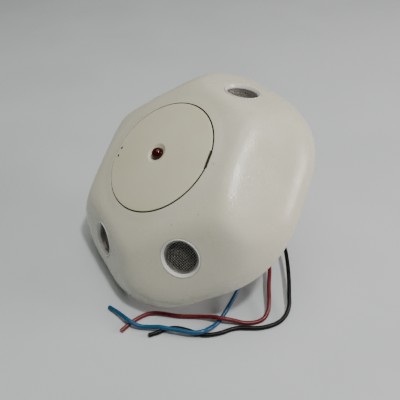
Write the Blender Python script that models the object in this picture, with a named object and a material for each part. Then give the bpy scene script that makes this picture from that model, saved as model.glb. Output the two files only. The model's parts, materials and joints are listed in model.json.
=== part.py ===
"""Ceiling motion sensor: a rounded hexagonal dome with four ultrasonic transducers.

The sensor leans on the front edge of its rim and on the end of its threaded post,
and its three leads lie on the same surface. Units are metres, +Z is up.
"""

import math

import bmesh
import bpy
import numpy as np
from mathutils import Matrix, Vector

MM = 0.001

# ---- housing -----------------------------------------------------------------
ACROSS_FLATS = 119.0 * MM
APOTHEM = ACROSS_FLATS / 2
CORNER_RADIUS = 43.0 * MM
BODY_DEPTH = 31.8 * MM
CROWN_RADIUS = 202.0 * MM
SHOULDER_RADIUS = 32.0 * MM
SHOULDER_HEIGHT = 29.5 * MM
SHOULDER_RISE = 0.35
DOME_POWER = 1.82
WALL = 2.2 * MM
CROWN_BLEND = 1.5 * MM
FACET_BLEND = 2.2 * MM
GAP = 0.3 * MM

# ---- facets and transducers --------------------------------------------------
FACET_TILT = math.radians(45)
FACET_RADIUS = 47.3 * MM
FACET_HEIGHT = 19.5 * MM
TRANSDUCER_AZIMUTHS = (-120, -60, 60, 120)
BEZEL_RADIUS = 8.65 * MM
BEZEL_SEAT_DEPTH = 1.0 * MM
SLEEVE_RADIUS = 8.1 * MM
CAN_RADIUS = 7.3 * MM
CAN_LENGTH = 10.0 * MM
CAN_RECESS = 1.4 * MM
SCREEN_RECESS = 1.1 * MM

# ---- access cover and what is under it ---------------------------------------
RECESS_RADIUS = 28.0 * MM
COVER_RADIUS = RECESS_RADIUS - GAP
COVER_SKIN = 1.7 * MM
FLOOR_TOP = 28.0 * MM
FLOOR_THICKNESS = 1.6 * MM
FLOOR_BOTTOM = FLOOR_TOP - FLOOR_THICKNESS
LED_HOLE_RADIUS = 4.7 * MM
LED_RADIUS = 2.9 * MM
LED_DOME_HEIGHT = 30.9 * MM
NOTCH_WIDTH = 9.6 * MM
NOTCH_DEPTH = 1.3 * MM
PINHOLE_RADIUS = 0.6 * MM
PINHOLE_SPACING = 4.3 * MM
PINHOLE_DISTANCE = 26.2 * MM
FINGER_AZIMUTHS = (60, 180, 300)
FINGER_RADIUS = 24.6 * MM
COVER_LIFT = 30.0 * MM

# ---- circuit board -----------------------------------------------------------
BOARD_RADIUS = 33.0 * MM
BOARD_TOP = 20.0 * MM
BOARD_THICKNESS = 1.6 * MM
BOARD_BOTTOM = BOARD_TOP - BOARD_THICKNESS
STANDOFF_AZIMUTHS = (30, 150, 270)
STANDOFF_DISTANCE = 28.5 * MM
TRIMMER_DISTANCE = 14.0 * MM
TRIMMER_SIZE = 7.0 * MM
TRIMMER_HEIGHT = 4.4 * MM

# ---- rear cover, post and nut ------------------------------------------------
PLATE_THICKNESS = 2.4 * MM
PLATE_INSET = WALL + 0.75 * MM
SCREW_AZIMUTHS = (0, 90, 180, 270)
SCREW_DISTANCE = 50.0 * MM
BOSS_RADIUS = 3.3 * MM
POST_LENGTH = 28.5 * MM
POST_RADIUS = 17.5 * MM
POST_FLAT = 16.0 * MM
POST_BORE = 13.5 * MM
THREAD_PITCH = 3.0 * MM
THREAD_DEPTH = 0.9 * MM
THREAD_TURNS = 7
NUT_RADIUS = 24.0 * MM
NUT_THICKNESS = 6.0 * MM
NUT_FRONT = -14.0 * MM
WASHER_THICKNESS = 1.0 * MM
SLOT_INNER = 41.6 * MM
SLOT_OUTER = 44.5 * MM
SLOT_WIDTH = 4.6 * MM

# ---- leads -------------------------------------------------------------------
LEAD_RADIUS = 0.95 * MM
LEAD_PITCH = 4.5 * MM
LEAD_OFFSET = 8.0 * MM
BUSH_LENGTH = 6.0 * MM

# ---- how it stands -----------------------------------------------------------
# The rim's front edge and the post's end edge touch the surface together.
LEAN = math.atan2(POST_LENGTH, APOTHEM - POST_FLAT)
RIM_HEIGHT = APOTHEM * math.sin(LEAN)
TURN = math.radians(30)
STAND_Y = 1.5 * MM

# The routes start at the post's end and follow the surface, in metres.
RED_ROUTE = (
    (0.0000, 0.0222, 0.0132),
    (0.0001, 0.0245, 0.0097),
    (0.0019, 0.0273, 0.0083),
    (0.0070, 0.0290, 0.0080),
    (0.0145, 0.0286, 0.0078),
    (0.0240, 0.0259, 0.0075),
    (0.0355, 0.0203, 0.0071),
    (0.0464, 0.0133, 0.0064),
    (0.0537, 0.0073, 0.0054),
    (0.0605, 0.0023, 0.0036),
    (0.0631, -0.0002, 0.0025),
    (0.0645, -0.0030, 0.0015),
    (0.0646, -0.0058, 0.00105),
    (0.0634, -0.0094, 0.00100),
    (0.0614, -0.0127, 0.00125),
    (0.0591, -0.0156, 0.00230),
    (0.0563, -0.0193, 0.00335),
    (0.0530, -0.0227, 0.00320),
    (0.0492, -0.0263, 0.00160),
    (0.0457, -0.0309, 0.00105),
    (0.0425, -0.0354, 0.00100),
    (0.0393, -0.0388, 0.00100),
    (0.0368, -0.0416, 0.00100),
    (0.0349, -0.0443, 0.00100),
    (0.0339, -0.0473, 0.00100),
    (0.0337, -0.0508, 0.00100),
    (0.0340, -0.0544, 0.00100),
    (0.0347, -0.0576, 0.00100),
    (0.0355, -0.0604, 0.00100),
)
BLUE_ROUTE = (
    (0.0045, 0.0222, 0.0132),
    (0.0048, 0.0241, 0.0101),
    (0.0068, 0.0250, 0.0086),
    (0.0118, 0.0239, 0.0078),
    (0.0190, 0.0204, 0.0072),
    (0.0276, 0.0155, 0.0067),
    (0.0356, 0.0094, 0.0062),
    (0.0425, 0.0016, 0.0056),
    (0.0479, -0.0064, 0.0048),
    (0.0504, -0.0111, 0.0037),
    (0.0528, -0.0161, 0.0022),
    (0.0544, -0.0200, 0.00110),
    (0.0556, -0.0238, 0.00125),
    (0.0565, -0.0271, 0.00270),
    (0.0567, -0.0304, 0.00345),
    (0.0558, -0.0327, 0.00335),
    (0.0538, -0.0355, 0.00320),
    (0.0507, -0.0387, 0.00320),
    (0.0476, -0.0420, 0.00310),
    (0.0443, -0.0453, 0.00310),
    (0.0413, -0.0489, 0.00220),
    (0.0391, -0.0517, 0.00200),
    (0.0372, -0.0537, 0.00260),
    (0.0351, -0.0551, 0.00320),
    (0.0314, -0.0564, 0.00300),
    (0.0273, -0.0576, 0.00220),
    (0.0232, -0.0591, 0.00140),
    (0.0209, -0.0600, 0.00105),
)
BLACK_ROUTE = (
    (-0.0045, 0.0222, 0.0132),
    (-0.0045, 0.0249, 0.0094),
    (-0.0035, 0.0285, 0.0079),
    (0.0008, 0.0320, 0.0077),
    (0.0078, 0.0339, 0.0078),
    (0.0165, 0.0341, 0.0079),
    (0.0265, 0.0322, 0.0079),
    (0.0350, 0.0294, 0.0078),
    (0.0424, 0.0262, 0.0075),
    (0.0474, 0.0232, 0.0070),
    (0.0532, 0.0193, 0.0062),
    (0.0586, 0.0153, 0.0052),
    (0.0625, 0.0122, 0.0042),
    (0.0660, 0.0095, 0.0031),
    (0.0683, 0.0064, 0.0020),
    (0.0694, 0.0030, 0.00125),
    (0.0695, -0.0006, 0.00100),
    (0.0687, -0.0045, 0.00100),
    (0.0670, -0.0086, 0.00100),
    (0.0644, -0.0126, 0.00100),
    (0.0622, -0.0160, 0.00100),
    (0.0610, -0.0195, 0.00100),
    (0.0603, -0.0232, 0.00100),
    (0.0591, -0.0266, 0.00100),
    (0.0573, -0.0301, 0.00100),
    (0.0552, -0.0324, 0.00100),
    (0.0528, -0.0340, 0.00100),
    (0.0502, -0.0361, 0.00100),
    (0.0479, -0.0383, 0.00100),
    (0.0463, -0.0408, 0.00100),
    (0.0454, -0.0436, 0.00100),
    (0.0450, -0.0469, 0.00100),
    (0.0444, -0.0495, 0.00100),
    (0.0440, -0.0510, 0.00100),
)


# ---- materials ---------------------------------------------------------------
def make_material(name, colour, roughness, metallic=0.0):
    """A plain Principled material."""
    material = bpy.data.materials.new(name)
    material.use_nodes = True
    shader = material.node_tree.nodes["Principled BSDF"]
    shader.inputs["Base Color"].default_value = (*colour, 1.0)
    shader.inputs["Roughness"].default_value = roughness
    shader.inputs["Metallic"].default_value = metallic
    return material


def make_materials():
    """Every material, by the name of the finish."""
    return {
        "housing_plastic": make_material("housing_plastic", (0.72, 0.70, 0.63), 0.45),
        "cover_plastic": make_material("cover_plastic", (0.66, 0.65, 0.54), 0.45),
        "bezel_plastic": make_material("bezel_plastic", (0.78, 0.78, 0.75), 0.25),
        "bush_rubber": make_material("bush_rubber", (0.05, 0.05, 0.05), 0.7),
        "can_aluminium": make_material("can_aluminium", (0.55, 0.55, 0.56), 0.35, 1.0),
        "screen_wire": make_material("screen_wire", (0.20, 0.20, 0.21), 0.45, 1.0),
        "cone_aluminium": make_material("cone_aluminium", (0.65, 0.65, 0.66), 0.3, 1.0),
        "phenolic": make_material("phenolic", (0.04, 0.04, 0.04), 0.6),
        "led_red": make_material("led_red", (0.30, 0.01, 0.01), 0.1),
        "board_green": make_material("board_green", (0.03, 0.18, 0.07), 0.4),
        "trimmer_blue": make_material("trimmer_blue", (0.05, 0.15, 0.45), 0.4),
        "trimmer_white": make_material("trimmer_white", (0.80, 0.80, 0.76), 0.4),
        "chip_black": make_material("chip_black", (0.02, 0.02, 0.02), 0.5),
        "capacitor_sleeve": make_material("capacitor_sleeve", (0.03, 0.04, 0.10), 0.35),
        "zinc_steel": make_material("zinc_steel", (0.60, 0.60, 0.58), 0.35, 1.0),
        "lead_red": make_material("lead_red", (0.28, 0.03, 0.04), 0.4),
        "lead_blue": make_material("lead_blue", (0.02, 0.14, 0.32), 0.4),
        "lead_black": make_material("lead_black", (0.015, 0.015, 0.015), 0.4),
    }


# ---- the outer form ----------------------------------------------------------
def rim_radius(azimuth, inset=0.0):
    """Distance from the axis to the rounded hexagon, flats on multiples of 60 degrees."""
    apothem = APOTHEM - inset
    corner = CORNER_RADIUS - inset
    sixth = math.pi / 6
    off_flat = np.abs((azimuth + sixth) % (2 * sixth) - sixth)
    centre = (apothem - corner) / math.cos(sixth)
    flat_end = math.atan2((apothem - corner) * math.tan(sixth), apothem)
    along = centre * np.cos(off_flat - sixth)
    across = centre * np.sin(off_flat - sixth)
    rounded = along + np.sqrt(np.maximum(corner**2 - across**2, 0.0))
    return np.where(off_flat <= flat_end, apothem / np.cos(off_flat), rounded)


def blend_max(first, second, width):
    """The larger of two levels, with a rounded join about `width` wide."""
    overlap = np.maximum(width - np.abs(first - second), 0.0)
    return np.maximum(first, second) + overlap**2 / (4 * width)


def body_level(x, y, z, inset):
    """Below zero inside the dome, above zero outside it; inset shrinks the dome."""
    radius = np.hypot(x, y)
    azimuth = np.arctan2(y, x)
    rim = rim_radius(azimuth, inset)
    crown = z - (BODY_DEPTH - inset - radius**2 / (2 * CROWN_RADIUS))
    inwards = np.maximum(SHOULDER_RADIUS - radius, 0.0)
    shoulder = SHOULDER_HEIGHT - inset + SHOULDER_RISE * inwards
    outwards = np.maximum(radius - SHOULDER_RADIUS, 0.0) / (rim - SHOULDER_RADIUS)
    upwards = np.maximum(z, 0.0) / shoulder
    dome = (outwards**DOME_POWER + upwards**DOME_POWER) ** (1 / DOME_POWER) - 1
    level = blend_max(crown, dome * shoulder, CROWN_BLEND)
    facet_reach = FACET_RADIUS * math.sin(FACET_TILT) + FACET_HEIGHT * math.cos(FACET_TILT)
    for step in range(6):
        along = radius * np.cos(azimuth - step * math.pi / 3)
        facet = along * math.sin(FACET_TILT) + z * math.cos(FACET_TILT)
        level = blend_max(level, facet - facet_reach + inset, FACET_BLEND)
    return level


def dome_points(polar_angles, azimuths, inset):
    """Points of the dome's surface, one ring of azimuths for each polar angle."""
    polar, azimuth = np.meshgrid(polar_angles, azimuths, indexing="ij")
    ray = np.stack(
        (np.sin(polar) * np.cos(azimuth), np.sin(polar) * np.sin(azimuth), np.cos(polar))
    )
    near = np.zeros_like(polar)
    far = np.full_like(polar, 2 * APOTHEM)
    for _ in range(48):
        middle = (near + far) / 2
        outside = body_level(*(ray * middle), inset) > 0
        far = np.where(outside, middle, far)
        near = np.where(outside, near, middle)
    return np.moveaxis(ray * near, 0, -1)


def dome_mesh(name, polar_degrees, azimuth_steps, inset, floor_z):
    """A closed dome with a flat base; its last ring is moved down to floor_z."""
    azimuths = np.arange(azimuth_steps) * 2 * math.pi / azimuth_steps
    rings = dome_points(np.radians(polar_degrees), azimuths, inset)
    rings[-1, :, 2] = floor_z
    bm = bmesh.new()
    top = bm.verts.new(rings[0, 0])
    loops = [[bm.verts.new(point) for point in ring] for ring in rings[1:]]
    for index in range(azimuth_steps):
        bm.faces.new((top, loops[0][index], loops[0][(index + 1) % azimuth_steps]))
    for upper, lower in zip(loops, loops[1:]):
        for index in range(azimuth_steps):
            after = (index + 1) % azimuth_steps
            bm.faces.new((upper[index], lower[index], lower[after], upper[after]))
    bm.faces.new(reversed(loops[-1]))
    bmesh.ops.recalc_face_normals(bm, faces=bm.faces)
    return finish_mesh(name, bm)


# ---- mesh helpers ------------------------------------------------------------
def finish_mesh(name, bm):
    """The bmesh as a mesh datablock, smooth except across sharp edges."""
    mesh = bpy.data.meshes.new(name)
    bm.to_mesh(mesh)
    bm.free()
    mesh.shade_smooth()
    mesh.set_sharp_from_angle(angle=math.radians(35))
    return mesh


def turned_mesh(name, profile, segments, closed=False):
    """A turned solid; the profile runs axis to axis, or is a closed loop."""
    bm = bmesh.new()
    verts = [bm.verts.new((radius, 0.0, height)) for radius, height in profile]
    pairs = list(zip(verts, verts[1:]))
    if closed:
        pairs.append((verts[-1], verts[0]))
    edges = [bm.edges.new(pair) for pair in pairs]
    bmesh.ops.spin(
        bm,
        geom=verts + edges,
        cent=(0, 0, 0),
        axis=(0, 0, 1),
        angle=2 * math.pi,
        steps=segments,
        use_duplicate=False,
    )
    bmesh.ops.remove_doubles(bm, verts=bm.verts, dist=1e-6)
    bmesh.ops.recalc_face_normals(bm, faces=bm.faces)
    return finish_mesh(name, bm)


def cylinder_mesh(name, radius, low, high, segments):
    """A plain cylinder along Z."""
    return turned_mesh(name, ((0, low), (radius, low), (radius, high), (0, high)), segments)


def box_mesh(name, size, bevel=0.0):
    """A box centred on its origin, with bevelled edges if asked."""
    bm = bmesh.new()
    bmesh.ops.create_cube(bm, size=1.0)
    bmesh.ops.scale(bm, vec=size, verts=bm.verts)
    if bevel:
        bmesh.ops.bevel(bm, geom=bm.edges[:], offset=bevel, segments=1, affect="EDGES")
    return finish_mesh(name, bm)


def prism_mesh(name, outline, low, high):
    """An outline of (x, y) points extruded from low to high."""
    bm = bmesh.new()
    face = bm.faces.new([bm.verts.new((x, y, low)) for x, y in outline])
    grown = bmesh.ops.extrude_face_region(bm, geom=[face])
    moved = [item for item in grown["geom"] if isinstance(item, bmesh.types.BMVert)]
    bmesh.ops.translate(bm, vec=(0, 0, high - low), verts=moved)
    bmesh.ops.recalc_face_normals(bm, faces=bm.faces)
    return finish_mesh(name, bm)


def polar(distance, azimuth_degrees, height=0.0):
    """A point from its distance, azimuth and height in the sensor's own frame."""
    angle = math.radians(azimuth_degrees)
    return Vector((distance * math.cos(angle), distance * math.sin(angle), height))


def across_post(right, rearwards, height=0.0):
    """A point from offsets along the post's wide and flat directions."""
    return Matrix.Rotation(-TURN, 4, "Z") @ Vector((right, rearwards, height))


# ---- the assembly ------------------------------------------------------------
class Assembly:
    """Places sub-parts and cutters under the empty that holds the sensor's axis."""

    def __init__(self):
        self.materials = make_materials()
        self.stand = bpy.data.objects.new("sensor_axis", None)
        bpy.context.collection.objects.link(self.stand)
        lean = Matrix.Rotation(LEAN, 4, "X") @ Matrix.Rotation(TURN, 4, "Z")
        self.stand.matrix_world = Matrix.Translation((0, STAND_Y, RIM_HEIGHT)) @ lean

    def add(self, name, mesh, finish=None, place=Matrix()):
        """One named object of the assembly, placed in the sensor's own frame."""
        piece = bpy.data.objects.new(name, mesh)
        bpy.context.collection.objects.link(piece)
        piece.parent = self.stand
        piece.matrix_local = place
        if finish:
            mesh.materials.append(self.materials[finish])
        return piece

    def cutter(self, name, mesh, place=Matrix()):
        """A guide solid that only shapes other pieces."""
        piece = self.add(name, mesh, None, place)
        piece.hide_render = True
        piece.display_type = "WIRE"
        return piece


def combine(target, tool, operation="DIFFERENCE", solver="EXACT"):
    """Cut the tool from the target, or join it on."""
    modifier = target.modifiers.new(tool.name, "BOOLEAN")
    modifier.operation = operation
    modifier.solver = solver
    modifier.object = tool


def carve(target, tool):
    """Cut the tool from the dense dome, where the exact solver leaves open edges."""
    combine(target, tool, solver="MANIFOLD")


def facet_place(azimuth_degrees):
    """The frame of a transducer: origin on the facet, +Z out of it."""
    turn = Matrix.Rotation(math.radians(azimuth_degrees), 4, "Z")
    tilt = Matrix.Rotation(FACET_TILT, 4, "Y")
    return Matrix.Translation(polar(FACET_RADIUS, azimuth_degrees, FACET_HEIGHT)) @ turn @ tilt


def build_front_housing(kit):
    """The moulded dome with its cover recess, bosses and four transducer seats."""
    outer_polar = (0, 25, 40, 46, 50, 54, 57, 60, 63, 66, 69.5, 73, 76.5, 80, 83, 86.5, 90)
    inner_polar = (0, 30, 45, 52, 58, 64, 70, 76, 82, 87, 90)
    outer = dome_mesh("front_housing", outer_polar, 60, 0.0, 0.0)
    housing = kit.add("front_housing", outer, "housing_plastic")
    cavity = kit.cutter(
        "cavity_cutter", dome_mesh("cavity_cutter", inner_polar, 36, WALL, -1 * MM)
    )
    above_floor = cylinder_mesh("floor_keeper", 60 * MM, FLOOR_BOTTOM, 60 * MM, 12)
    carve(cavity, kit.cutter("floor_keeper", above_floor))
    boss = cylinder_mesh("boss_keeper", BOSS_RADIUS, PLATE_THICKNESS + GAP, 50 * MM, 16)
    for azimuth in SCREW_AZIMUTHS:
        place = Matrix.Translation(polar(SCREW_DISTANCE, azimuth))
        carve(cavity, kit.cutter(f"boss_keeper_{azimuth}", boss, place))
    standoff = cylinder_mesh("standoff_keeper", 2.4 * MM, BOARD_TOP + GAP, 50 * MM, 12)
    for azimuth in STANDOFF_AZIMUTHS:
        place = Matrix.Translation(polar(STANDOFF_DISTANCE, azimuth))
        carve(cavity, kit.cutter(f"standoff_keeper_{azimuth}", standoff, place))
    carve(housing, cavity)

    recess = cylinder_mesh("recess_cutter", RECESS_RADIUS, FLOOR_TOP, 40 * MM, 64)
    carve(housing, kit.cutter("recess_cutter", recess))
    led_hole = cylinder_mesh("led_cutter", LED_RADIUS + GAP, 20 * MM, 30 * MM, 24)
    carve(housing, kit.cutter("led_cutter", led_hole))
    access = cylinder_mesh("access_cutter", 3.5 * MM, 20 * MM, 30 * MM, 20)
    for side in (-1, 1):
        place = Matrix.Translation((0, side * TRIMMER_DISTANCE, 0))
        carve(housing, kit.cutter(f"access_cutter_{side}", access, place))
    finger_slot = box_mesh("finger_slot_cutter", (3.4 * MM, 6.2 * MM, 6 * MM))
    for azimuth in FINGER_AZIMUTHS:
        turn = Matrix.Rotation(math.radians(azimuth), 4, "Z")
        place = Matrix.Translation(polar(FINGER_RADIUS, azimuth, FLOOR_TOP)) @ turn
        carve(housing, kit.cutter(f"finger_slot_cutter_{azimuth}", finger_slot, place))
    for azimuth in TRANSDUCER_AZIMUTHS:
        seat = turned_mesh(
            "seat_cutter",
            (
                (0, -6 * MM),
                (SLEEVE_RADIUS + 0.2 * MM, -6 * MM),
                (SLEEVE_RADIUS + 0.2 * MM, -BEZEL_SEAT_DEPTH),
                (BEZEL_RADIUS + 0.2 * MM, -BEZEL_SEAT_DEPTH),
                (BEZEL_RADIUS + 0.2 * MM, 6 * MM),
                (0, 6 * MM),
            ),
            32,
        )
        carve(housing, kit.cutter(f"seat_cutter_{azimuth}", seat, facet_place(azimuth)))
    pilot = cylinder_mesh("pilot_cutter", 1.7 * MM, 1 * MM, 11 * MM, 10)
    for azimuth in SCREW_AZIMUTHS:
        place = Matrix.Translation(polar(SCREW_DISTANCE, azimuth))
        carve(housing, kit.cutter(f"pilot_cutter_{azimuth}", pilot, place))
    board_pilot = cylinder_mesh("board_pilot_cutter", 1.3 * MM, 19 * MM, 25.4 * MM, 10)
    for azimuth in STANDOFF_AZIMUTHS:
        place = Matrix.Translation(polar(STANDOFF_DISTANCE, azimuth))
        carve(housing, kit.cutter(f"board_pilot_cutter_{azimuth}", board_pilot, place))


def crown_height(radius):
    """Height of the domed crown at a distance from the axis."""
    return BODY_DEPTH - radius**2 / (2 * CROWN_RADIUS)


def build_access_cover(kit):
    """The round lift-off cover with its light hole, pry notch, pinholes and fingers."""
    skirt = 1.5 * MM
    bottom = FLOOR_TOP + GAP
    top_radii = [LED_HOLE_RADIUS, 10 * MM, 16 * MM, 22 * MM, COVER_RADIUS - 0.25 * MM]
    profile = [(radius, crown_height(radius)) for radius in top_radii]
    profile += [
        (COVER_RADIUS, crown_height(COVER_RADIUS) - 0.25 * MM),
        (COVER_RADIUS, bottom),
        (COVER_RADIUS - skirt, bottom),
        (COVER_RADIUS - skirt, crown_height(COVER_RADIUS) - COVER_SKIN + 0.1 * MM),
        (15 * MM, crown_height(15 * MM) - COVER_SKIN),
        (5.6 * MM, crown_height(5.6 * MM) - COVER_SKIN),
        (5.0 * MM, bottom),
        (3.8 * MM, bottom),
    ]
    mesh = turned_mesh("access_cover", profile, 56, closed=True)
    cover = kit.add("access_cover", mesh, "cover_plastic")
    finger = box_mesh("finger", (1.5 * MM, 5.0 * MM, 5.2 * MM))
    for azimuth in FINGER_AZIMUTHS:
        turn = Matrix.Rotation(math.radians(azimuth), 4, "Z")
        place = Matrix.Translation(polar(FINGER_RADIUS, azimuth, 27.2 * MM)) @ turn
        combine(cover, kit.cutter(f"finger_{azimuth}", finger, place), "UNION")
    notch = box_mesh("notch_cutter", (4 * MM, NOTCH_WIDTH, 8 * MM))
    middle = Vector((COVER_RADIUS - NOTCH_DEPTH + 2 * MM, 0, BODY_DEPTH))
    combine(cover, kit.cutter("notch_cutter", notch, Matrix.Translation(middle)))
    pinhole = cylinder_mesh("pinhole_cutter", PINHOLE_RADIUS, 28.9 * MM, 33 * MM, 12)
    for side in (-1, 1):
        place = Matrix.Translation((-PINHOLE_DISTANCE, side * PINHOLE_SPACING / 2, 0))
        combine(cover, kit.cutter(f"pinhole_cutter_{side}", pinhole, place))


def build_transducer(kit, number, azimuth):
    """One bezel sleeve and the can, screen, cone and pin base that it holds."""
    place = facet_place(azimuth)
    bore = CAN_RADIUS + 0.25 * MM
    sleeve = (
        (BEZEL_RADIUS, -BEZEL_SEAT_DEPTH + 0.2 * MM),
        (BEZEL_RADIUS, 0.0),
        (BEZEL_RADIUS - 0.3 * MM, 0.2 * MM),
        (BEZEL_RADIUS - 0.6 * MM, 0.2 * MM),
        (bore, -CAN_RECESS + 0.3 * MM),
        (bore, -8.0 * MM),
        (SLEEVE_RADIUS, -8.0 * MM),
        (SLEEVE_RADIUS, -BEZEL_SEAT_DEPTH + 0.2 * MM),
    )
    mesh = turned_mesh("bezel_sleeve", sleeve, 28, closed=True)
    kit.add(f"bezel_sleeve_{number}", mesh, "bezel_plastic", place)

    front = -CAN_RECESS
    back = front - CAN_LENGTH
    inside = CAN_RADIUS - 0.4 * MM
    can = (
        (CAN_RADIUS, back),
        (CAN_RADIUS, front - 0.15 * MM),
        (CAN_RADIUS - 0.15 * MM, front),
        (inside, front),
        (inside, back),
    )
    mesh = turned_mesh("transducer_can", can, 24, closed=True)
    kit.add(f"transducer_can_{number}", mesh, "can_aluminium", place)

    screen_top = front - SCREEN_RECESS
    mesh = cylinder_mesh(
        "transducer_screen", inside - 0.25 * MM, screen_top - 0.3 * MM, screen_top, 28
    )
    kit.add(f"transducer_screen_{number}", mesh, "screen_wire", place)

    cone = (
        (0.0, -7.6 * MM),
        (1.1 * MM, -7.6 * MM),
        (4.7 * MM, -4.4 * MM),
        (4.4 * MM, -4.2 * MM),
        (0.9 * MM, -7.2 * MM),
        (0.0, -7.2 * MM),
    )
    mesh = turned_mesh("transducer_cone", cone, 20)
    kit.add(f"transducer_cone_{number}", mesh, "cone_aluminium", place)

    base_top = back + 1.8 * MM
    mesh = cylinder_mesh("transducer_base", inside - 0.3 * MM, back + 0.2 * MM, base_top, 20)
    base = kit.add(f"transducer_base_{number}", mesh, "phenolic", place)
    pin = cylinder_mesh("transducer_pin", 0.45 * MM, back - 4 * MM, back + 1 * MM, 6)
    for side in (-1, 1):
        pin_place = place @ Matrix.Translation((0, side * 2.5 * MM, 0))
        name = f"transducer_pin_{number}_{side}"
        combine(base, kit.cutter(name, pin, pin_place), "UNION")


def build_indicator(kit):
    """The red indicator lamp and the spacer that lifts it off the board."""
    steps = 6
    top = LED_DOME_HEIGHT
    base = 22.6 * MM
    arc = [
        (
            LED_RADIUS * math.cos(step * math.pi / 2 / steps),
            top + LED_RADIUS * math.sin(step * math.pi / 2 / steps),
        )
        for step in range(steps)
    ]
    profile = [(0, base), (LED_RADIUS, base), *arc, (0, top + LED_RADIUS)]
    kit.add("indicator_led", turned_mesh("indicator_led", profile, 24), "led_red")
    spacer = cylinder_mesh("led_spacer", 2.6 * MM, BOARD_TOP + GAP, base - GAP, 16)
    kit.add("led_spacer", spacer, "phenolic")


def build_trimmer(kit, name, side):
    """A trimmer on the board: its body, and the slotted rotor that turns."""
    centre = Vector((0, side * TRIMMER_DISTANCE, 0))
    body_base = BOARD_TOP + GAP
    body = box_mesh(f"{name}_body", (TRIMMER_SIZE, TRIMMER_SIZE, TRIMMER_HEIGHT), 0.3 * MM)
    lift = Vector((0, 0, body_base + TRIMMER_HEIGHT / 2))
    kit.add(f"{name}_body", body, "trimmer_blue", Matrix.Translation(centre + lift))
    rotor_base = body_base + TRIMMER_HEIGHT + GAP
    profile = (
        (0, 0),
        (2.8 * MM, 0),
        (2.8 * MM, 1.1 * MM),
        (2.5 * MM, 1.4 * MM),
        (0, 1.4 * MM),
    )
    rotor = kit.add(
        f"{name}_rotor",
        turned_mesh(f"{name}_rotor", profile, 20),
        "trimmer_white",
        Matrix.Translation(centre + Vector((0, 0, rotor_base))),
    )
    slot = box_mesh(f"{name}_slot_cutter", (3.8 * MM, 0.9 * MM, 1.4 * MM))
    slot_place = Matrix.Translation(centre + Vector((0, 0, rotor_base + 1.4 * MM)))
    combine(rotor, kit.cutter(f"{name}_slot_cutter", slot, slot_place))


def build_board(kit):
    """The round board with the parts soldered to its rear side."""
    mesh = cylinder_mesh("circuit_board", BOARD_RADIUS, BOARD_BOTTOM, BOARD_TOP, 40)
    board = kit.add("circuit_board", mesh, "board_green")
    hole = cylinder_mesh("board_hole_cutter", 1.4 * MM, 17 * MM, 21 * MM, 10)
    for azimuth in STANDOFF_AZIMUTHS:
        place = Matrix.Translation(polar(STANDOFF_DISTANCE, azimuth))
        combine(board, kit.cutter(f"board_hole_cutter_{azimuth}", hole, place))

    underside = BOARD_BOTTOM - GAP
    turn = Matrix.Rotation(-TURN, 4, "Z")
    blocks = (
        ("signal_chip", (20, 7.6, 3.6), (0, -3), "chip_black"),
        ("amplifier_chip", (10, 7.6, 3.6), (-18, -3), "chip_black"),
        ("driver_chip", (10, 7.6, 3.6), (18, -3), "chip_black"),
        ("timing_crystal", (11, 4.6, 3.6), (0, -12), "zinc_steel"),
        ("voltage_regulator", (10, 4.6, 9), (-15, -14), "chip_black"),
        ("lead_header", (15, 6, 7), (0, LEAD_OFFSET / MM), "trimmer_white"),
    )
    for name, size, (right, rearwards), finish in blocks:
        width, depth, height = (length * MM for length in size)
        middle = across_post(right * MM, rearwards * MM, underside - height / 2)
        mesh = box_mesh(name, (width, depth, height), 0.4 * MM)
        kit.add(name, mesh, finish, Matrix.Translation(middle) @ turn)
    capacitors = (("filter_capacitor", 4.6, 12, (-15, 12)), ("output_capacitor", 3.6, 9, (15, 12)))
    for name, radius, height, (right, rearwards) in capacitors:
        profile = (
            (0, -height * MM),
            ((radius - 0.5) * MM, -height * MM),
            (radius * MM, (0.5 - height) * MM),
            (radius * MM, 0),
            (0, 0),
        )
        middle = across_post(right * MM, rearwards * MM, underside)
        mesh = turned_mesh(name, profile, 20)
        kit.add(name, mesh, "capacitor_sleeve", Matrix.Translation(middle))


def build_screw(kit, name, place, head_radius, shank_radius, length):
    """A pan-head screw with its head down at z = 0 and its shank along +Z."""
    head = 1.3 * MM
    profile = (
        (0, -head),
        (head_radius * 0.6, -head),
        (head_radius, -head * 0.35),
        (head_radius, 0),
        (shank_radius, 0),
        (shank_radius, length - shank_radius),
        (0, length),
    )
    screw = kit.add(name, turned_mesh(name, profile, 16), "zinc_steel", place)
    for quarter in (0, 90):
        size = (head_radius * 1.2, head_radius * 0.3, head)
        blade = box_mesh(f"{name}_slot_{quarter}_cutter", size)
        turn = Matrix.Rotation(math.radians(quarter), 4, "Z")
        slot_place = place @ Matrix.Translation((0, 0, -head)) @ turn
        combine(screw, kit.cutter(f"{name}_slot_{quarter}_cutter", blade, slot_place))


def build_screws(kit):
    """Three screws that hold the board, and four that close the housing."""
    for number, azimuth in enumerate(STANDOFF_AZIMUTHS, 1):
        place = Matrix.Translation(polar(STANDOFF_DISTANCE, azimuth, BOARD_BOTTOM - GAP))
        build_screw(kit, f"board_screw_{number}", place, 2.3 * MM, 1.0 * MM, 6.5 * MM)
    for number, azimuth in enumerate(SCREW_AZIMUTHS, 1):
        place = Matrix.Translation(polar(SCREW_DISTANCE, azimuth, 1.3 * MM))
        build_screw(kit, f"housing_screw_{number}", place, 2.8 * MM, 1.4 * MM, 9.0 * MM)


def hexagon_outline(inset, steps):
    """Points round the rounded hexagon."""
    azimuths = np.arange(steps) * 2 * math.pi / steps
    radii = rim_radius(azimuths, inset)
    return [(r * math.cos(a), r * math.sin(a)) for r, a in zip(radii, azimuths)]


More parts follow.
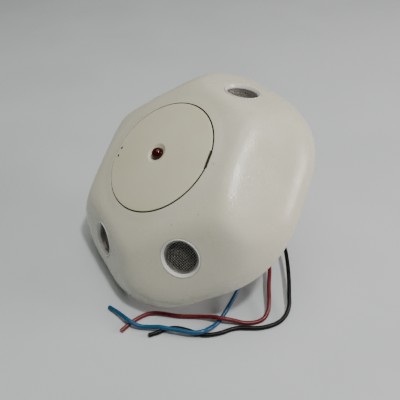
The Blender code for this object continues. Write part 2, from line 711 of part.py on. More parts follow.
def build_rear_cover(kit):
    """The plate that closes the housing, in one piece with the threaded post."""
    outline = hexagon_outline(PLATE_INSET, 60)
    plate = prism_mesh("rear_cover", outline, 0.0, PLATE_THICKNESS)
    cover = kit.add("rear_cover", plate, "housing_plastic")
    root = POST_RADIUS - THREAD_DEPTH
    profile = [(0, 1.0 * MM), (20.5 * MM, 1.0 * MM), (20.5 * MM, -0.6 * MM), (root, -2.0 * MM)]
    start = -POST_LENGTH + 0.9 * MM + THREAD_TURNS * THREAD_PITCH
    for turn in range(THREAD_TURNS):
        top = start - turn * THREAD_PITCH
        profile.append((root, top))
        profile.append((POST_RADIUS, top - THREAD_PITCH / 2))
    profile += [(root, -POST_LENGTH + 0.9 * MM), (root - 0.4 * MM, -POST_LENGTH)]
    profile.append((0, -POST_LENGTH))
    post = kit.cutter("post_form", turned_mesh("post_form", profile, 48))
    flat = box_mesh("flat_cutter", (60 * MM, 10 * MM, 60 * MM))
    for side in (-1, 1):
        middle = across_post(0, side * (POST_FLAT + 5 * MM), -POST_LENGTH / 2)
        middle.z = -2.0 * MM - 30 * MM
        place = Matrix.Translation(middle) @ Matrix.Rotation(-TURN, 4, "Z")
        combine(post, kit.cutter(f"flat_cutter_{side}", flat, place))
    combine(cover, post, "UNION")
    bore = cylinder_mesh("bore_cutter", POST_BORE, -40 * MM, 10 * MM, 40)
    combine(cover, kit.cutter("bore_cutter", bore))
    seat = turned_mesh(
        "screw_seat_cutter",
        (
            (0, -2 * MM),
            (3.3 * MM, -2 * MM),
            (3.3 * MM, 1.6 * MM),
            (1.8 * MM, 1.6 * MM),
            (1.8 * MM, 6 * MM),
            (0, 6 * MM),
        ),
        16,
    )
    for azimuth in SCREW_AZIMUTHS:
        place = Matrix.Translation(polar(SCREW_DISTANCE, azimuth))
        combine(cover, kit.cutter(f"screw_seat_cutter_{azimuth}", seat, place))
    for azimuth in (30, 210):
        slot = slot_mesh("box_slot_cutter", SLOT_INNER, SLOT_OUTER, SLOT_WIDTH / 2)
        turn = Matrix.Rotation(math.radians(azimuth), 4, "Z")
        combine(cover, kit.cutter(f"box_slot_cutter_{azimuth}", slot, turn))


def slot_mesh(name, inner, outer, radius):
    """A round-ended slot along +X, for cutting through the plate."""
    steps = 8
    outline = []
    for end, start_angle in ((outer, -90), (inner, 90)):
        for step in range(steps + 1):
            angle = math.radians(start_angle + 180 * step / steps)
            outline.append((end + radius * math.cos(angle), radius * math.sin(angle)))
    return prism_mesh(name, outline, -3 * MM, 6 * MM)


def build_nut(kit):
    """The washer and the lobed nut that clamp a ceiling tile against the plate."""
    washer_top = NUT_FRONT + GAP + WASHER_THICKNESS
    inner = POST_RADIUS + 0.4 * MM
    washer = (
        (inner, NUT_FRONT + GAP),
        (inner, washer_top),
        (NUT_RADIUS - 1 * MM, washer_top),
        (NUT_RADIUS - 1 * MM, NUT_FRONT + GAP),
    )
    mesh = turned_mesh("clamp_washer", washer, 40, closed=True)
    kit.add("clamp_washer", mesh, "zinc_steel")
    lobes = 10
    steps = 60
    outline = []
    for step in range(steps):
        angle = step * 2 * math.pi / steps
        radius = NUT_RADIUS - 0.8 * MM * (1 + math.cos(lobes * angle + math.pi))
        outline.append((radius * math.cos(angle), radius * math.sin(angle)))
    mesh = prism_mesh("mounting_nut", outline, NUT_FRONT - NUT_THICKNESS, NUT_FRONT)
    nut = kit.add("mounting_nut", mesh, "housing_plastic")
    bore = cylinder_mesh("nut_bore_cutter", POST_RADIUS + 0.35 * MM, -40 * MM, 0, 40)
    combine(nut, kit.cutter("nut_bore_cutter", bore))


def build_bush(kit):
    """The rubber bush that closes the post's end round the three leads."""
    low = -POST_LENGTH + 0.4 * MM
    profile = (
        (0, low),
        (POST_BORE - 1.0 * MM, low),
        (POST_BORE - GAP, low + 0.7 * MM),
        (POST_BORE - GAP, low + BUSH_LENGTH),
        (0, low + BUSH_LENGTH),
    )
    bush = kit.add("lead_bush", turned_mesh("lead_bush", profile, 40), "bush_rubber")
    hole = cylinder_mesh("lead_hole_cutter", LEAD_RADIUS + GAP, -40 * MM, 0, 12)
    for number in (-1, 0, 1):
        place = Matrix.Translation(across_post(number * LEAD_PITCH, LEAD_OFFSET))
        combine(bush, kit.cutter(f"lead_hole_cutter_{number}", hole, place))


# ---- leads -------------------------------------------------------------------
def smooth_route(points, spacing):
    """Evenly spaced points on a smooth curve through the given ones."""
    knots = np.array(points, float)
    chords = np.sqrt(np.linalg.norm(np.diff(knots, axis=0), axis=1))
    times = np.concatenate(([0.0], np.cumsum(chords)))
    slopes = np.gradient(knots, times, axis=0)
    fine = []
    for index in range(len(knots) - 1):
        span = times[index + 1] - times[index]
        for part in np.linspace(0, 1, 16, endpoint=False):
            square = part**2
            cube = part**3
            fine.append(
                (2 * cube - 3 * square + 1) * knots[index]
                + (cube - 2 * square + part) * span * slopes[index]
                + (3 * square - 2 * cube) * knots[index + 1]
                + (cube - square) * span * slopes[index + 1]
            )
    fine.append(knots[-1])
    fine = np.array(fine)
    distance = np.concatenate(([0.0], np.cumsum(np.linalg.norm(np.diff(fine, axis=0), axis=1))))
    count = max(2, round(distance[-1] / spacing) + 1)
    wanted = np.linspace(0, distance[-1], count)
    return np.stack([np.interp(wanted, distance, fine[:, axis]) for axis in range(3)], axis=1)


def add_tube(name, points, radius, material, parent=None):
    """A round tube along the points, as a curve with closed ends."""
    curve = bpy.data.curves.new(name, "CURVE")
    curve.dimensions = "3D"
    curve.bevel_depth = radius
    curve.bevel_resolution = 2
    curve.use_fill_caps = True
    spline = curve.splines.new("POLY")
    spline.points.add(len(points) - 1)
    for target, point in zip(spline.points, points):
        target.co = (*point, 1.0)
    curve.materials.append(material)
    tube = bpy.data.objects.new(name, curve)
    bpy.context.collection.objects.link(tube)
    if parent:
        tube.parent = parent
    return tube


def build_leads(kit):
    """The three free leads, and their inner lengths from the bush to the board."""
    shift = np.array((0.0, STAND_Y, 0.0))
    leads = (
        ("black", BLACK_ROUTE, -1, "lead_black"),
        ("red", RED_ROUTE, 0, "lead_red"),
        ("blue", BLUE_ROUTE, 1, "lead_blue"),
    )
    for colour, route, number, finish in leads:
        points = smooth_route(np.array(route) + shift, 4.6 * MM)
        add_tube(f"{colour}_lead", points, LEAD_RADIUS, kit.materials[finish])
        side = number * LEAD_PITCH
        inner = [
            across_post(side, LEAD_OFFSET, BOARD_BOTTOM - 8 * MM),
            across_post(side * 1.1, LEAD_OFFSET - 1.5 * MM, 0.0),
            across_post(side, LEAD_OFFSET, -15 * MM),
            across_post(side, LEAD_OFFSET, -22 * MM),
            across_post(side, LEAD_OFFSET, -POST_LENGTH + 0.6 * MM),
        ]
        points = smooth_route(inner, 5 * MM)
        material = kit.materials[finish]
        add_tube(f"{colour}_lead_inner", points, LEAD_RADIUS, material, kit.stand)


def build_transducer_wires(kit):
    """A twin wire from each transducer's pins to the edge of the board."""
    for number, azimuth in enumerate(TRANSDUCER_AZIMUTHS, 1):
        route = [
            polar(35.0 * MM, azimuth, 6.2 * MM),
            polar(31.5 * MM, azimuth, 6.4 * MM),
            polar(29.6 * MM, azimuth, 9.5 * MM),
            polar(29.6 * MM, azimuth, 14.0 * MM),
            polar(29.6 * MM, azimuth, BOARD_BOTTOM - GAP),
        ]
        points = smooth_route(route, 2.4 * MM)
        name = f"transducer_wire_{number}"
        add_tube(name, points, 0.8 * MM, kit.materials["lead_black"], kit.stand)


def main():
    """Clear the scene and build every piece."""
    for leftover in list(bpy.data.objects):
        bpy.data.objects.remove(leftover, do_unlink=True)
    kit = Assembly()
    build_front_housing(kit)
    build_access_cover(kit)
    for number, azimuth in enumerate(TRANSDUCER_AZIMUTHS, 1):
        build_transducer(kit, number, azimuth)
    build_indicator(kit)
    build_trimmer(kit, "range_trimmer", 1)
    build_trimmer(kit, "delay_trimmer", -1)
    build_board(kit)
    build_screws(kit)
    build_rear_cover(kit)
    build_nut(kit)
    build_bush(kit)
    build_leads(kit)
    build_transducer_wires(kit)


main()
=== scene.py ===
"""The looks of a hexagonal ceiling motion sensor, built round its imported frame."""

import json
import math

import bmesh
import bpy
import numpy as np
from bpy.props import FloatProperty, FloatVectorProperty, IntProperty, PointerProperty
from mathutils import Matrix, Vector


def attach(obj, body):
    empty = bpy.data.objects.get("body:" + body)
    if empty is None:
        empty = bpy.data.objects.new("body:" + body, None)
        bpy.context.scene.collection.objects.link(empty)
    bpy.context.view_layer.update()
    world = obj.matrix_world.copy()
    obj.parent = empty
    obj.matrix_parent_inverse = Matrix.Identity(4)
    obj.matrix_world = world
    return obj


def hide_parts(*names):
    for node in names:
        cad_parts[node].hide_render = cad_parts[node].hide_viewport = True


bl_info = {
    "name": "Ceiling Motion Sensor",
    "version": (1, 0, 0),
    "blender": (4, 5, 0),
    "location": "View3D > Sidebar > Sensor",
    "description": "Builds the detailed pieces of a hexagonal ceiling motion sensor",
    "category": "Object",
}

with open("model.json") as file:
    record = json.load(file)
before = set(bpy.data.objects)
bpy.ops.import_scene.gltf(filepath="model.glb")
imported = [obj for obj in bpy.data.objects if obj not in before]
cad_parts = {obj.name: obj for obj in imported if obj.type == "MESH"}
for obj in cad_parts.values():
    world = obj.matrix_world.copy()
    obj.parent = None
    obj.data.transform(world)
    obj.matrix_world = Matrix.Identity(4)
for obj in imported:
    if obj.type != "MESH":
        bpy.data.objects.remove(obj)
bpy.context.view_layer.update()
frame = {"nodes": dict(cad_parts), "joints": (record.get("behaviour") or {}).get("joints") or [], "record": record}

MM = 0.001
TRANSDUCER_AZIMUTHS = (-120, -60, 60, 120)
SCREW_AZIMUTHS = (0, 90, 180, 270)
FINGER_AZIMUTHS = (60, 180, 300)

# The dome's form: a shallow crown blended into a shoulder and cut by six facets.
CROWN_RADIUS = 202 * MM
SHOULDER_RADIUS = 32 * MM
SHOULDER_HEIGHT = 29.5 * MM
SHOULDER_RISE = 0.35
SHOULDER_POWER = 1.82
CROWN_BLEND = 1.5 * MM
FACET_BLEND = 2.2 * MM
FACET_DISTANCE = 47.3 * MM
FACET_HEIGHT = 19.5 * MM

# Places that two or more pieces share, from the sensor's axis.
FINGER_DISTANCE = 24.6 * MM
PINHOLE_DISTANCE = 25.4 * MM
PINHOLE_SPREAD = 2.15 * MM
NOTCH_SHIFT = -0.45 * MM
TRIMMER_DISTANCE = 14 * MM
TRIMMER_FACE = 24.99 * MM
SCREW_DISTANCE = 50 * MM
LEAD_SPACING = 4.5 * MM
LEAD_OFFSET = 8 * MM


def joint_axis(name):
    """A joint's axis, from the record."""
    return Vector(next(joint for joint in frame["joints"] if joint["name"] == name)["axis"])


def mount_point(name):
    """A mount's point, from the record."""
    return Vector(next(m for m in frame["record"]["mounts"] if m["name"] == name)["pos_m"])


FACE_NORMAL = joint_axis("cover_lift")
POST_LENGTH = 28.5 * MM
LEAN = math.atan2(-FACE_NORMAL.y, FACE_NORMAL.z)
ORIGIN = mount_point("ceiling_post") + FACE_NORMAL * POST_LENGTH
TURN = math.radians(30)
SENSOR = (
    Matrix.Translation(ORIGIN) @ Matrix.Rotation(LEAN, 4, "X") @ Matrix.Rotation(TURN, 4, "Z")
)

# The camera's place in metres, its direction and what is up in its view.
CAMERA_PLACE = (0.14631, -0.07643, 0.16994)
CAMERA_FORWARD = (-0.6532, 0.3616, -0.6653)
CAMERA_UP = (-0.5529, 0.3725, 0.7453)

# The leads' routes, in metres, from the post's end along the surface.
RED_ROUTE = (
    (0.0000, 0.0222, 0.0132),
    (0.0001, 0.0245, 0.0097),
    (0.0019, 0.0273, 0.0083),
    (0.0070, 0.0290, 0.0080),
    (0.0145, 0.0286, 0.0078),
    (0.0240, 0.0259, 0.0075),
    (0.0355, 0.0203, 0.0071),
    (0.0464, 0.0133, 0.0064),
    (0.0537, 0.0073, 0.0054),
    (0.0605, 0.0023, 0.0036),
    (0.0631, -0.0002, 0.0025),
    (0.0645, -0.0030, 0.0015),
    (0.0646, -0.0058, 0.00105),
    (0.0634, -0.0094, 0.00100),
    (0.0614, -0.0127, 0.00125),
    (0.0591, -0.0156, 0.00230),
    (0.0563, -0.0193, 0.00335),
    (0.0530, -0.0227, 0.00320),
    (0.0492, -0.0263, 0.00160),
    (0.0457, -0.0309, 0.00105),
    (0.0425, -0.0354, 0.00100),
    (0.0393, -0.0388, 0.00100),
    (0.0368, -0.0416, 0.00100),
    (0.0349, -0.0443, 0.00100),
    (0.0339, -0.0473, 0.00100),
    (0.0337, -0.0508, 0.00100),
    (0.0340, -0.0544, 0.00100),
    (0.0347, -0.0576, 0.00100),
    (0.0355, -0.0604, 0.00100),
)
BLUE_ROUTE = (
    (0.0045, 0.0222, 0.0132),
    (0.0048, 0.0241, 0.0101),
    (0.0068, 0.0250, 0.0086),
    (0.0118, 0.0239, 0.0078),
    (0.0190, 0.0204, 0.0072),
    (0.0276, 0.0155, 0.0067),
    (0.0356, 0.0094, 0.0062),
    (0.0425, 0.0016, 0.0056),
    (0.0479, -0.0064, 0.0048),
    (0.0504, -0.0111, 0.0037),
    (0.0528, -0.0161, 0.0022),
    (0.0544, -0.0200, 0.00110),
    (0.0556, -0.0238, 0.00125),
    (0.0565, -0.0271, 0.00270),
    (0.0567, -0.0304, 0.00345),
    (0.0558, -0.0327, 0.00335),
    (0.0538, -0.0355, 0.00320),
    (0.0507, -0.0387, 0.00320),
    (0.0476, -0.0420, 0.00310),
    (0.0443, -0.0453, 0.00310),
    (0.0413, -0.0489, 0.00220),
    (0.0391, -0.0517, 0.00200),
    (0.0372, -0.0537, 0.00260),
    (0.0351, -0.0551, 0.00320),
    (0.0314, -0.0564, 0.00300),
    (0.0273, -0.0576, 0.00220),
    (0.0232, -0.0591, 0.00140),
    (0.0209, -0.0600, 0.00105),
)
BLACK_ROUTE = (
    (-0.0045, 0.0222, 0.0132),
    (-0.0045, 0.0249, 0.0094),
    (-0.0035, 0.0285, 0.0079),
    (0.0008, 0.0320, 0.0077),
    (0.0078, 0.0339, 0.0078),
    (0.0165, 0.0341, 0.0079),
    (0.0265, 0.0322, 0.0079),
    (0.0350, 0.0294, 0.0078),
    (0.0424, 0.0262, 0.0075),
    (0.0474, 0.0232, 0.0070),
    (0.0532, 0.0193, 0.0062),
    (0.0586, 0.0153, 0.0052),
    (0.0625, 0.0122, 0.0042),
    (0.0660, 0.0095, 0.0031),
    (0.0683, 0.0064, 0.0020),
    (0.0694, 0.0030, 0.00125),
    (0.0695, -0.0006, 0.00100),
    (0.0687, -0.0045, 0.00100),
    (0.0670, -0.0086, 0.00100),
    (0.0644, -0.0126, 0.00100),
    (0.0622, -0.0160, 0.00100),
    (0.0610, -0.0195, 0.00100),
    (0.0603, -0.0232, 0.00100),
    (0.0591, -0.0266, 0.00100),
    (0.0573, -0.0301, 0.00100),
    (0.0552, -0.0324, 0.00100),
    (0.0528, -0.0340, 0.00100),
    (0.0502, -0.0361, 0.00100),
    (0.0479, -0.0383, 0.00100),
    (0.0463, -0.0408, 0.00100),
    (0.0454, -0.0436, 0.00100),
    (0.0450, -0.0469, 0.00100),
    (0.0444, -0.0495, 0.00100),
    (0.0440, -0.0510, 0.00100),
)


# ---- settings ------------------------------------------------------------------
def length(name, description, default):
    """A length in metres that a user can change."""
    return FloatProperty(
        name=name, description=description, default=default, min=0.0, unit="LENGTH", precision=5
    )


def colour(name, description, default):
    """A colour that a user can change."""
    return FloatVectorProperty(
        name=name,
        description=description,
        default=default,
        size=3,
        min=0.0,
        max=1.0,
        subtype="COLOR",
    )


class HousingSettings(bpy.types.PropertyGroup):
    """Sizes and colours of the moulded front housing."""

    across_flats: length("Across Flats", "Distance between opposite flats of the rim", 0.119)
    corner_radius: length("Corner Radius", "Radius of the hexagon's corners", 0.043)
    depth: length("Depth", "Height of the crown over the rim", 0.0318)
    wall: length("Wall", "Thickness of the moulding", 0.0022)
    recess_radius: length("Recess Radius", "Radius of the cover's recess", 0.028)
    floor_top: length("Recess Floor", "Height of the recess floor over the rim", 0.028)
    azimuth_steps: IntProperty(
        name="Azimuth Steps", description="Points round the dome", default=240, min=48, max=480
    )
    body_colour: colour("Body", "Colour of the moulding", (0.655, 0.643, 0.540))
    aged_colour: colour("Aged", "Colour of its yellowed patches", (0.625, 0.603, 0.490))


class CoverSettings(bpy.types.PropertyGroup):
    """Sizes and colours of the round lift-off cover."""

    radius: length("Radius", "Radius of the cover's edge", 0.02748)
    skin: length("Skin", "Thickness of the cover", 0.0017)
    play: length("Play", "How far the cover sits to one side of its recess", 0.00024)
    light_hole: length("Light Hole", "Radius of the light hole's mouth", 0.0047)
    notch_width: length("Notch Width", "Width of the pry notch", 0.0086)
    notch_inset: length("Notch Inset", "How far the notch cuts into the edge", 0.0009)
    pinhole_radius: length("Pinhole Radius", "Radius of the two pinholes", 0.0008)
    cover_colour: colour("Cover", "Colour of the cover", (0.665, 0.655, 0.505))
    aged_colour: colour("Aged", "Colour of its yellowed patches", (0.640, 0.618, 0.455))


class TransducerSettings(bpy.types.PropertyGroup):
    """Sizes and colours of the four transducers."""

    facet_radius: length(
        "Facet Radius", "Distance of a transducer from the axis", FACET_DISTANCE
    )
    facet_height: length("Facet Height", "Height of a transducer over the rim", FACET_HEIGHT)
    bezel_radius: length("Bezel Radius", "Radius of the white bezel", 0.00865)
    can_radius: length("Can Radius", "Radius of the metal can", 0.0073)
    can_recess: length("Can Recess", "Depth of the can's front edge", 0.0012)
    screen_recess: length("Screen Recess", "Depth of the screen inside the can", 0.0016)
    wire_pitch: length("Wire Pitch", "Distance between wires of the screen", 0.00092)
    wire_radius: length("Wire Radius", "Radius of the screen's wires", 0.0001)
    bezel_colour: colour("Bezel", "Colour of the bezels", (0.72, 0.72, 0.69))
    can_colour: colour("Can", "Colour of the cans", (0.46, 0.46, 0.44))
    wire_colour: colour("Wire", "Colour of the woven wire", (0.42, 0.41, 0.385))


class IndicatorSettings(bpy.types.PropertyGroup):
    """Size and colour of the indicator lamp."""

    lamp_radius: length("Lamp Radius", "Radius of the lamp's dome", 0.0029)
    dome_height: length("Dome Height", "Height of the dome's centre over the rim", 0.0309)
    resin_colour: colour("Resin", "Colour of the lamp's resin", (0.035, 0.0002, 0.0006))


class RearSettings(bpy.types.PropertyGroup):
    """Sizes and colours of the rear cover, its post, the nut and the bush."""

    plate_thickness: length("Plate", "Thickness of the rear plate", 0.0024)
    plate_inset: length("Plate Inset", "Distance of the plate's edge inside the rim", 0.00295)
    post_radius: length("Post Radius", "Radius over the thread", 0.0175)
    post_flat: length("Post Flat", "Distance of the flats from the axis", 0.016)
    post_bore: length("Post Bore", "Radius of the post's bore", 0.0135)
    thread_pitch: length("Thread Pitch", "Advance of the thread in one turn", 0.003)
    thread_depth: length("Thread Depth", "Depth of the thread", 0.0009)
    nut_radius: length("Nut Radius", "Radius over the nut's lobes", 0.024)
    rear_colour: colour("Rear", "Colour of the rear cover and the nut", (0.70, 0.685, 0.60))
    rubber_colour: colour("Rubber", "Colour of the lead bush", (0.020, 0.020, 0.021))
    steel_colour: colour("Steel", "Colour of the zinc-plated pieces", (0.42, 0.42, 0.41))


class LeadSettings(bpy.types.PropertyGroup):
    """Size and colours of the three leads."""

    lead_radius: length("Lead Radius", "Radius over the insulation", 0.00095)
    red: colour("Red", "Colour of the red insulation", (0.125, 0.006, 0.012))
    blue: colour("Blue", "Colour of the blue insulation", (0.004, 0.068, 0.165))
    black: colour("Black", "Colour of the black insulation", (0.0022, 0.0022, 0.0024))
    copper: colour("Copper", "Colour of the strands", (0.32, 0.14, 0.07))


class ElectronicsSettings(bpy.types.PropertyGroup):
    """Colours of the circuit board's parts and the transducers' insides."""

    rotor_colour: colour("Rotor", "Colour of the trimmers' rotors", (0.70, 0.70, 0.66))
    trimmer_colour: colour("Trimmer", "Colour of the trimmers' bodies", (0.020, 0.085, 0.330))
    chip_colour: colour("Chip", "Colour of the chips", (0.012, 0.012, 0.013))
    sleeve_colour: colour("Sleeve", "Colour of the capacitors", (0.012, 0.020, 0.060))
    phenolic_colour: colour("Phenolic", "Colour of the pin bases", (0.02, 0.018, 0.016))
    cone_colour: colour("Cone", "Colour of the transducers' cones", (0.55, 0.55, 0.56))


class StageSettings(bpy.types.PropertyGroup):
    """The surface, the camera and the lights."""

    floor_colour: colour("Surface", "Colour of the surface", (0.56, 0.605, 0.64))
    lens: FloatProperty(
        name="Lens", description="Focal length of the camera", default=38.79, unit="CAMERA"
    )
    key_power: FloatProperty(
        name="Key", description="Power of the main light", default=3.5, min=0.0, unit="POWER"
    )
    top_power: FloatProperty(
        name="Top", description="Power of the overhead light", default=3.45, min=0.0, unit="POWER"
    )
    side_power: FloatProperty(
        name="Side", description="Power of the low side light", default=5.0, min=0.0, unit="POWER"
    )
    sky_strength: FloatProperty(
        name="Sky", description="Strength of the light from all round", default=0.11, min=0.0
    )
    backdrop_strength: FloatProperty(
        name="Backdrop", description="Added brightness of the far background", default=0.42, min=0.0
    )


class SensorSettings(bpy.types.PropertyGroup):
    """Everything about the sensor that a user can change."""

    housing: PointerProperty(type=HousingSettings)
    cover: PointerProperty(type=CoverSettings)
    transducer: PointerProperty(type=TransducerSettings)
    indicator: PointerProperty(type=IndicatorSettings)
    rear: PointerProperty(type=RearSettings)
    leads: PointerProperty(type=LeadSettings)
    electronics: PointerProperty(type=ElectronicsSettings)
    stage: PointerProperty(type=StageSettings)


# ---- mesh building -------------------------------------------------------------
def polar(distance, azimuth_degrees, height=0.0):
    """A point from its distance, azimuth and height in the sensor's own frame."""
    angle = math.radians(azimuth_degrees)
    return Vector((distance * math.cos(angle), distance * math.sin(angle), height))


def about_axis(degrees):
    """A turn about the sensor's own axis."""
    return Matrix.Rotation(math.radians(degrees), 4, "Z")


def outline_points(radii, angles):
    """An outline of (x, y) points from its distances and angles."""
    return [(r * math.cos(a), r * math.sin(a)) for r, a in zip(radii, angles)]


def even_angles(steps):
    """Angles in radians, evenly spaced round the axis."""
    return np.arange(steps) * 2 * math.pi / steps


def across_post(right, rearwards, height=0.0):
    """A point from offsets along the post's wide and flat directions."""
    return Matrix.Rotation(-TURN, 4, "Z") @ Vector((right, rearwards, height))


def facet_place(settings, azimuth_degrees):
    """The frame of a transducer: origin on the facet, +Z out of it."""
    turn = about_axis(azimuth_degrees)
    tilt = Matrix.Rotation(math.radians(45), 4, "Y")
    seat = polar(settings.facet_radius, azimuth_degrees, settings.facet_height)
    return Matrix.Translation(seat) @ turn @ tilt


def mesh_from(name, verts, faces, smooth_angle=32.0):
    """A mesh from numbered points, smooth except across sharp edges."""
    mesh = bpy.data.meshes.new(name)
    mesh.from_pydata([tuple(vert) for vert in verts], [], faces)
    bm = bmesh.new()
    bm.from_mesh(mesh)
    bmesh.ops.recalc_face_normals(bm, faces=bm.faces)
    return finished_mesh(mesh, bm, smooth_angle)


def smooth(mesh, smooth_angle=32.0):
    """Smooth shading except across sharp edges."""
    mesh.shade_smooth()
    mesh.set_sharp_from_angle(angle=math.radians(smooth_angle))
    return mesh


def finished_mesh(mesh, bm, smooth_angle=32.0):
    """A mesh filled from its bmesh, which is freed, and smoothed."""
    bm.to_mesh(mesh)
    bm.free()
    return smooth(mesh, smooth_angle)


def rounded_profile(points, radii, steps=4):
    """A profile with its corners rounded; radii gives each corner's radius."""
    count = len(points)
    rounded = []
    for index, (point, radius) in enumerate(zip(points, radii)):
        here = Vector(point)
        if radius <= 0:
            rounded.append(tuple(here))
            continue
        before = Vector(points[index - 1]) - here
        after = Vector(points[(index + 1) % count]) - here
        reach = min(radius, before.length * 0.45, after.length * 0.45)
        start = here + before.normalized() * reach
        end = here + after.normalized() * reach
        for step in range(steps + 1):
            t = step / steps
            arc = start * (1 - t) ** 2 + here * 2 * t * (1 - t) + end * t**2
            rounded.append(tuple(arc))
    return rounded


def turned_mesh(name, profile, segments, closed=True):
    """A turned solid from a closed loop, or from a line that runs axis to axis."""
    rings = []
    verts = []
    for radius, height in profile:
        if radius < 1e-7:
            rings.append([len(verts)] * segments)
            verts.append((0.0, 0.0, height))
            continue
        rings.append(list(range(len(verts), len(verts) + segments)))
        for step in range(segments):
            angle = step * 2 * math.pi / segments
            verts.append((radius * math.cos(angle), radius * math.sin(angle), height))
    pairs = list(zip(rings, rings[1:]))
    if closed:
        pairs.append((rings[-1], rings[0]))
    faces = []
    for upper, lower in pairs:
        for step in range(segments):
            after = (step + 1) % segments
            corners = [upper[step], upper[after], lower[after], lower[step]]
            unique = list(dict.fromkeys(corners))
            if len(unique) > 2:
                faces.append(unique)
    return mesh_from(name, verts, faces)


def prism_mesh(name, outline, low, high, chamfer=0.0):
    """An outline of (x, y) points from low to high, its edges softened if asked."""
    outline = np.array(outline, float)
    levels = [(low, 1.0), (high, 1.0)]
    if chamfer:
        shrink = 1 - chamfer / np.linalg.norm(outline, axis=1).max()
        levels = [(low, shrink), (low + chamfer, 1.0), (high - chamfer, 1.0), (high, shrink)]
    count = len(outline)
    verts = [(x * s, y * s, level) for level, s in levels for x, y in outline]
    faces = [list(range(count)), list(range(len(verts) - count, len(verts)))]
    for ring in range(len(levels) - 1):
        for step in range(count):
            after = (step + 1) % count
            base = ring * count
            faces.append([base + step, base + after, base + count + after, base + count + step])
    return mesh_from(name, verts, faces)


def box_mesh(name, size, bevel=0.0, segments=2):
    """A box centred on its origin, with rounded edges if asked."""
    bm = bmesh.new()
    bmesh.ops.create_cube(bm, size=1.0)
    bmesh.ops.scale(bm, vec=size, verts=bm.verts)
    if bevel:
        bmesh.ops.bevel(
            bm, geom=bm.edges[:], offset=bevel, segments=segments, profile=0.5, affect="EDGES"
        )
    return finished_mesh(bpy.data.meshes.new(name), bm)


def joined_mesh(name, parts):
    """Several (mesh, placement) pairs in one mesh."""
    bm = bmesh.new()
    for mesh, place in parts:
        piece = mesh.copy()
        piece.transform(place)
        bm.from_mesh(piece)
        bpy.data.meshes.remove(piece)
    return finished_mesh(bpy.data.meshes.new(name), bm)


def linked(name, data):
    """A new object in the scene."""
    made = bpy.data.objects.new(name, data)
    bpy.context.scene.collection.objects.link(made)
    return made


def add_piece(name, mesh, material=None, place=Matrix()):
    """One object placed in the sensor's frame, its points kept in the shared frame."""
    mesh.transform(SENSOR @ place)
    piece = linked(name, mesh)
    if material:
        mesh.materials.append(material)
    return piece


def carve(piece, cutters):
    """Cut meshes, each with its placement, out of a piece for good."""
    tools = []
    for number, (mesh, place) in enumerate(cutters):
        tool = add_piece(f"{piece.name}_cutter_{number}", mesh.copy(), None, place)
        modifier = piece.modifiers.new(tool.name, "BOOLEAN")
        modifier.operation = "DIFFERENCE"
        modifier.solver = "MANIFOLD"
        modifier.object = tool
        tools.append(tool)
    bpy.context.view_layer.update()
    seen = piece.evaluated_get(bpy.context.evaluated_depsgraph_get())
    carved = bpy.data.meshes.new_from_object(seen)
    if not carved.polygons:
        raise RuntimeError(f"carving {piece.name} left nothing")
    piece.modifiers.clear()
    piece.data = carved
    for tool in tools:
        bpy.data.objects.remove(tool)
    smooth(carved)


def fit_to_body(piece, body, slot, *nodes):
    """Tie a finished piece to its body and hide the nodes it stands for; the slot it is given is not used."""
    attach(piece, body)
    if nodes:
        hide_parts(*nodes)
    return piece


# ---- the dome's form -----------------------------------------------------------
def rim_radius(settings, azimuth, inset=0.0):
    """Distance from the axis to the rounded hexagon, flats on multiples of 60 degrees."""
    apothem = settings.across_flats / 2 - inset
    corner = settings.corner_radius - inset
    sixth = math.pi / 6
    off_flat = np.abs((azimuth + sixth) % (2 * sixth) - sixth)
    centre = (apothem - corner) / math.cos(sixth)
    flat_end = math.atan2((apothem - corner) * math.tan(sixth), apothem)
    along = centre * np.cos(off_flat - sixth)
    across = centre * np.sin(off_flat - sixth)
    rounded = along + np.sqrt(np.maximum(corner**2 - across**2, 0.0))
    return np.where(off_flat <= flat_end, apothem / np.cos(off_flat), rounded)


def blend_max(first, second, width):
    """The larger of two levels, with a rounded join about `width` wide."""
    overlap = np.maximum(width - np.abs(first - second), 0.0)
    return np.maximum(first, second) + overlap**2 / (4 * width)


def crown_height(settings, radius):
    """Height of the domed crown at a distance from the axis."""
    return settings.depth - radius**2 / (2 * CROWN_RADIUS)


def body_level(settings, x, y, z, inset):
    """Below zero inside the dome, above zero outside it; inset shrinks the dome."""
    radius = np.hypot(x, y)
    azimuth = np.arctan2(y, x)
    rim = rim_radius(settings, azimuth, inset)
    crown = z - crown_height(settings, radius) + inset
    inwards = np.maximum(SHOULDER_RADIUS - radius, 0.0)
    shoulder = SHOULDER_HEIGHT - inset + SHOULDER_RISE * inwards
    outwards = np.maximum(radius - SHOULDER_RADIUS, 0.0) / (rim - SHOULDER_RADIUS)
    upwards = np.maximum(z, 0.0) / shoulder
    power = SHOULDER_POWER
    dome = (outwards**power + upwards**power) ** (1 / power) - 1
    level = blend_max(crown, dome * shoulder, CROWN_BLEND)
    reach = (FACET_DISTANCE + FACET_HEIGHT) * math.sqrt(0.5)
    for step in range(6):
        along = radius * np.cos(azimuth - step * math.pi / 3)
        facet = (along + z) * math.sqrt(0.5)
        level = blend_max(level, facet - reach + inset, FACET_BLEND)
    return level


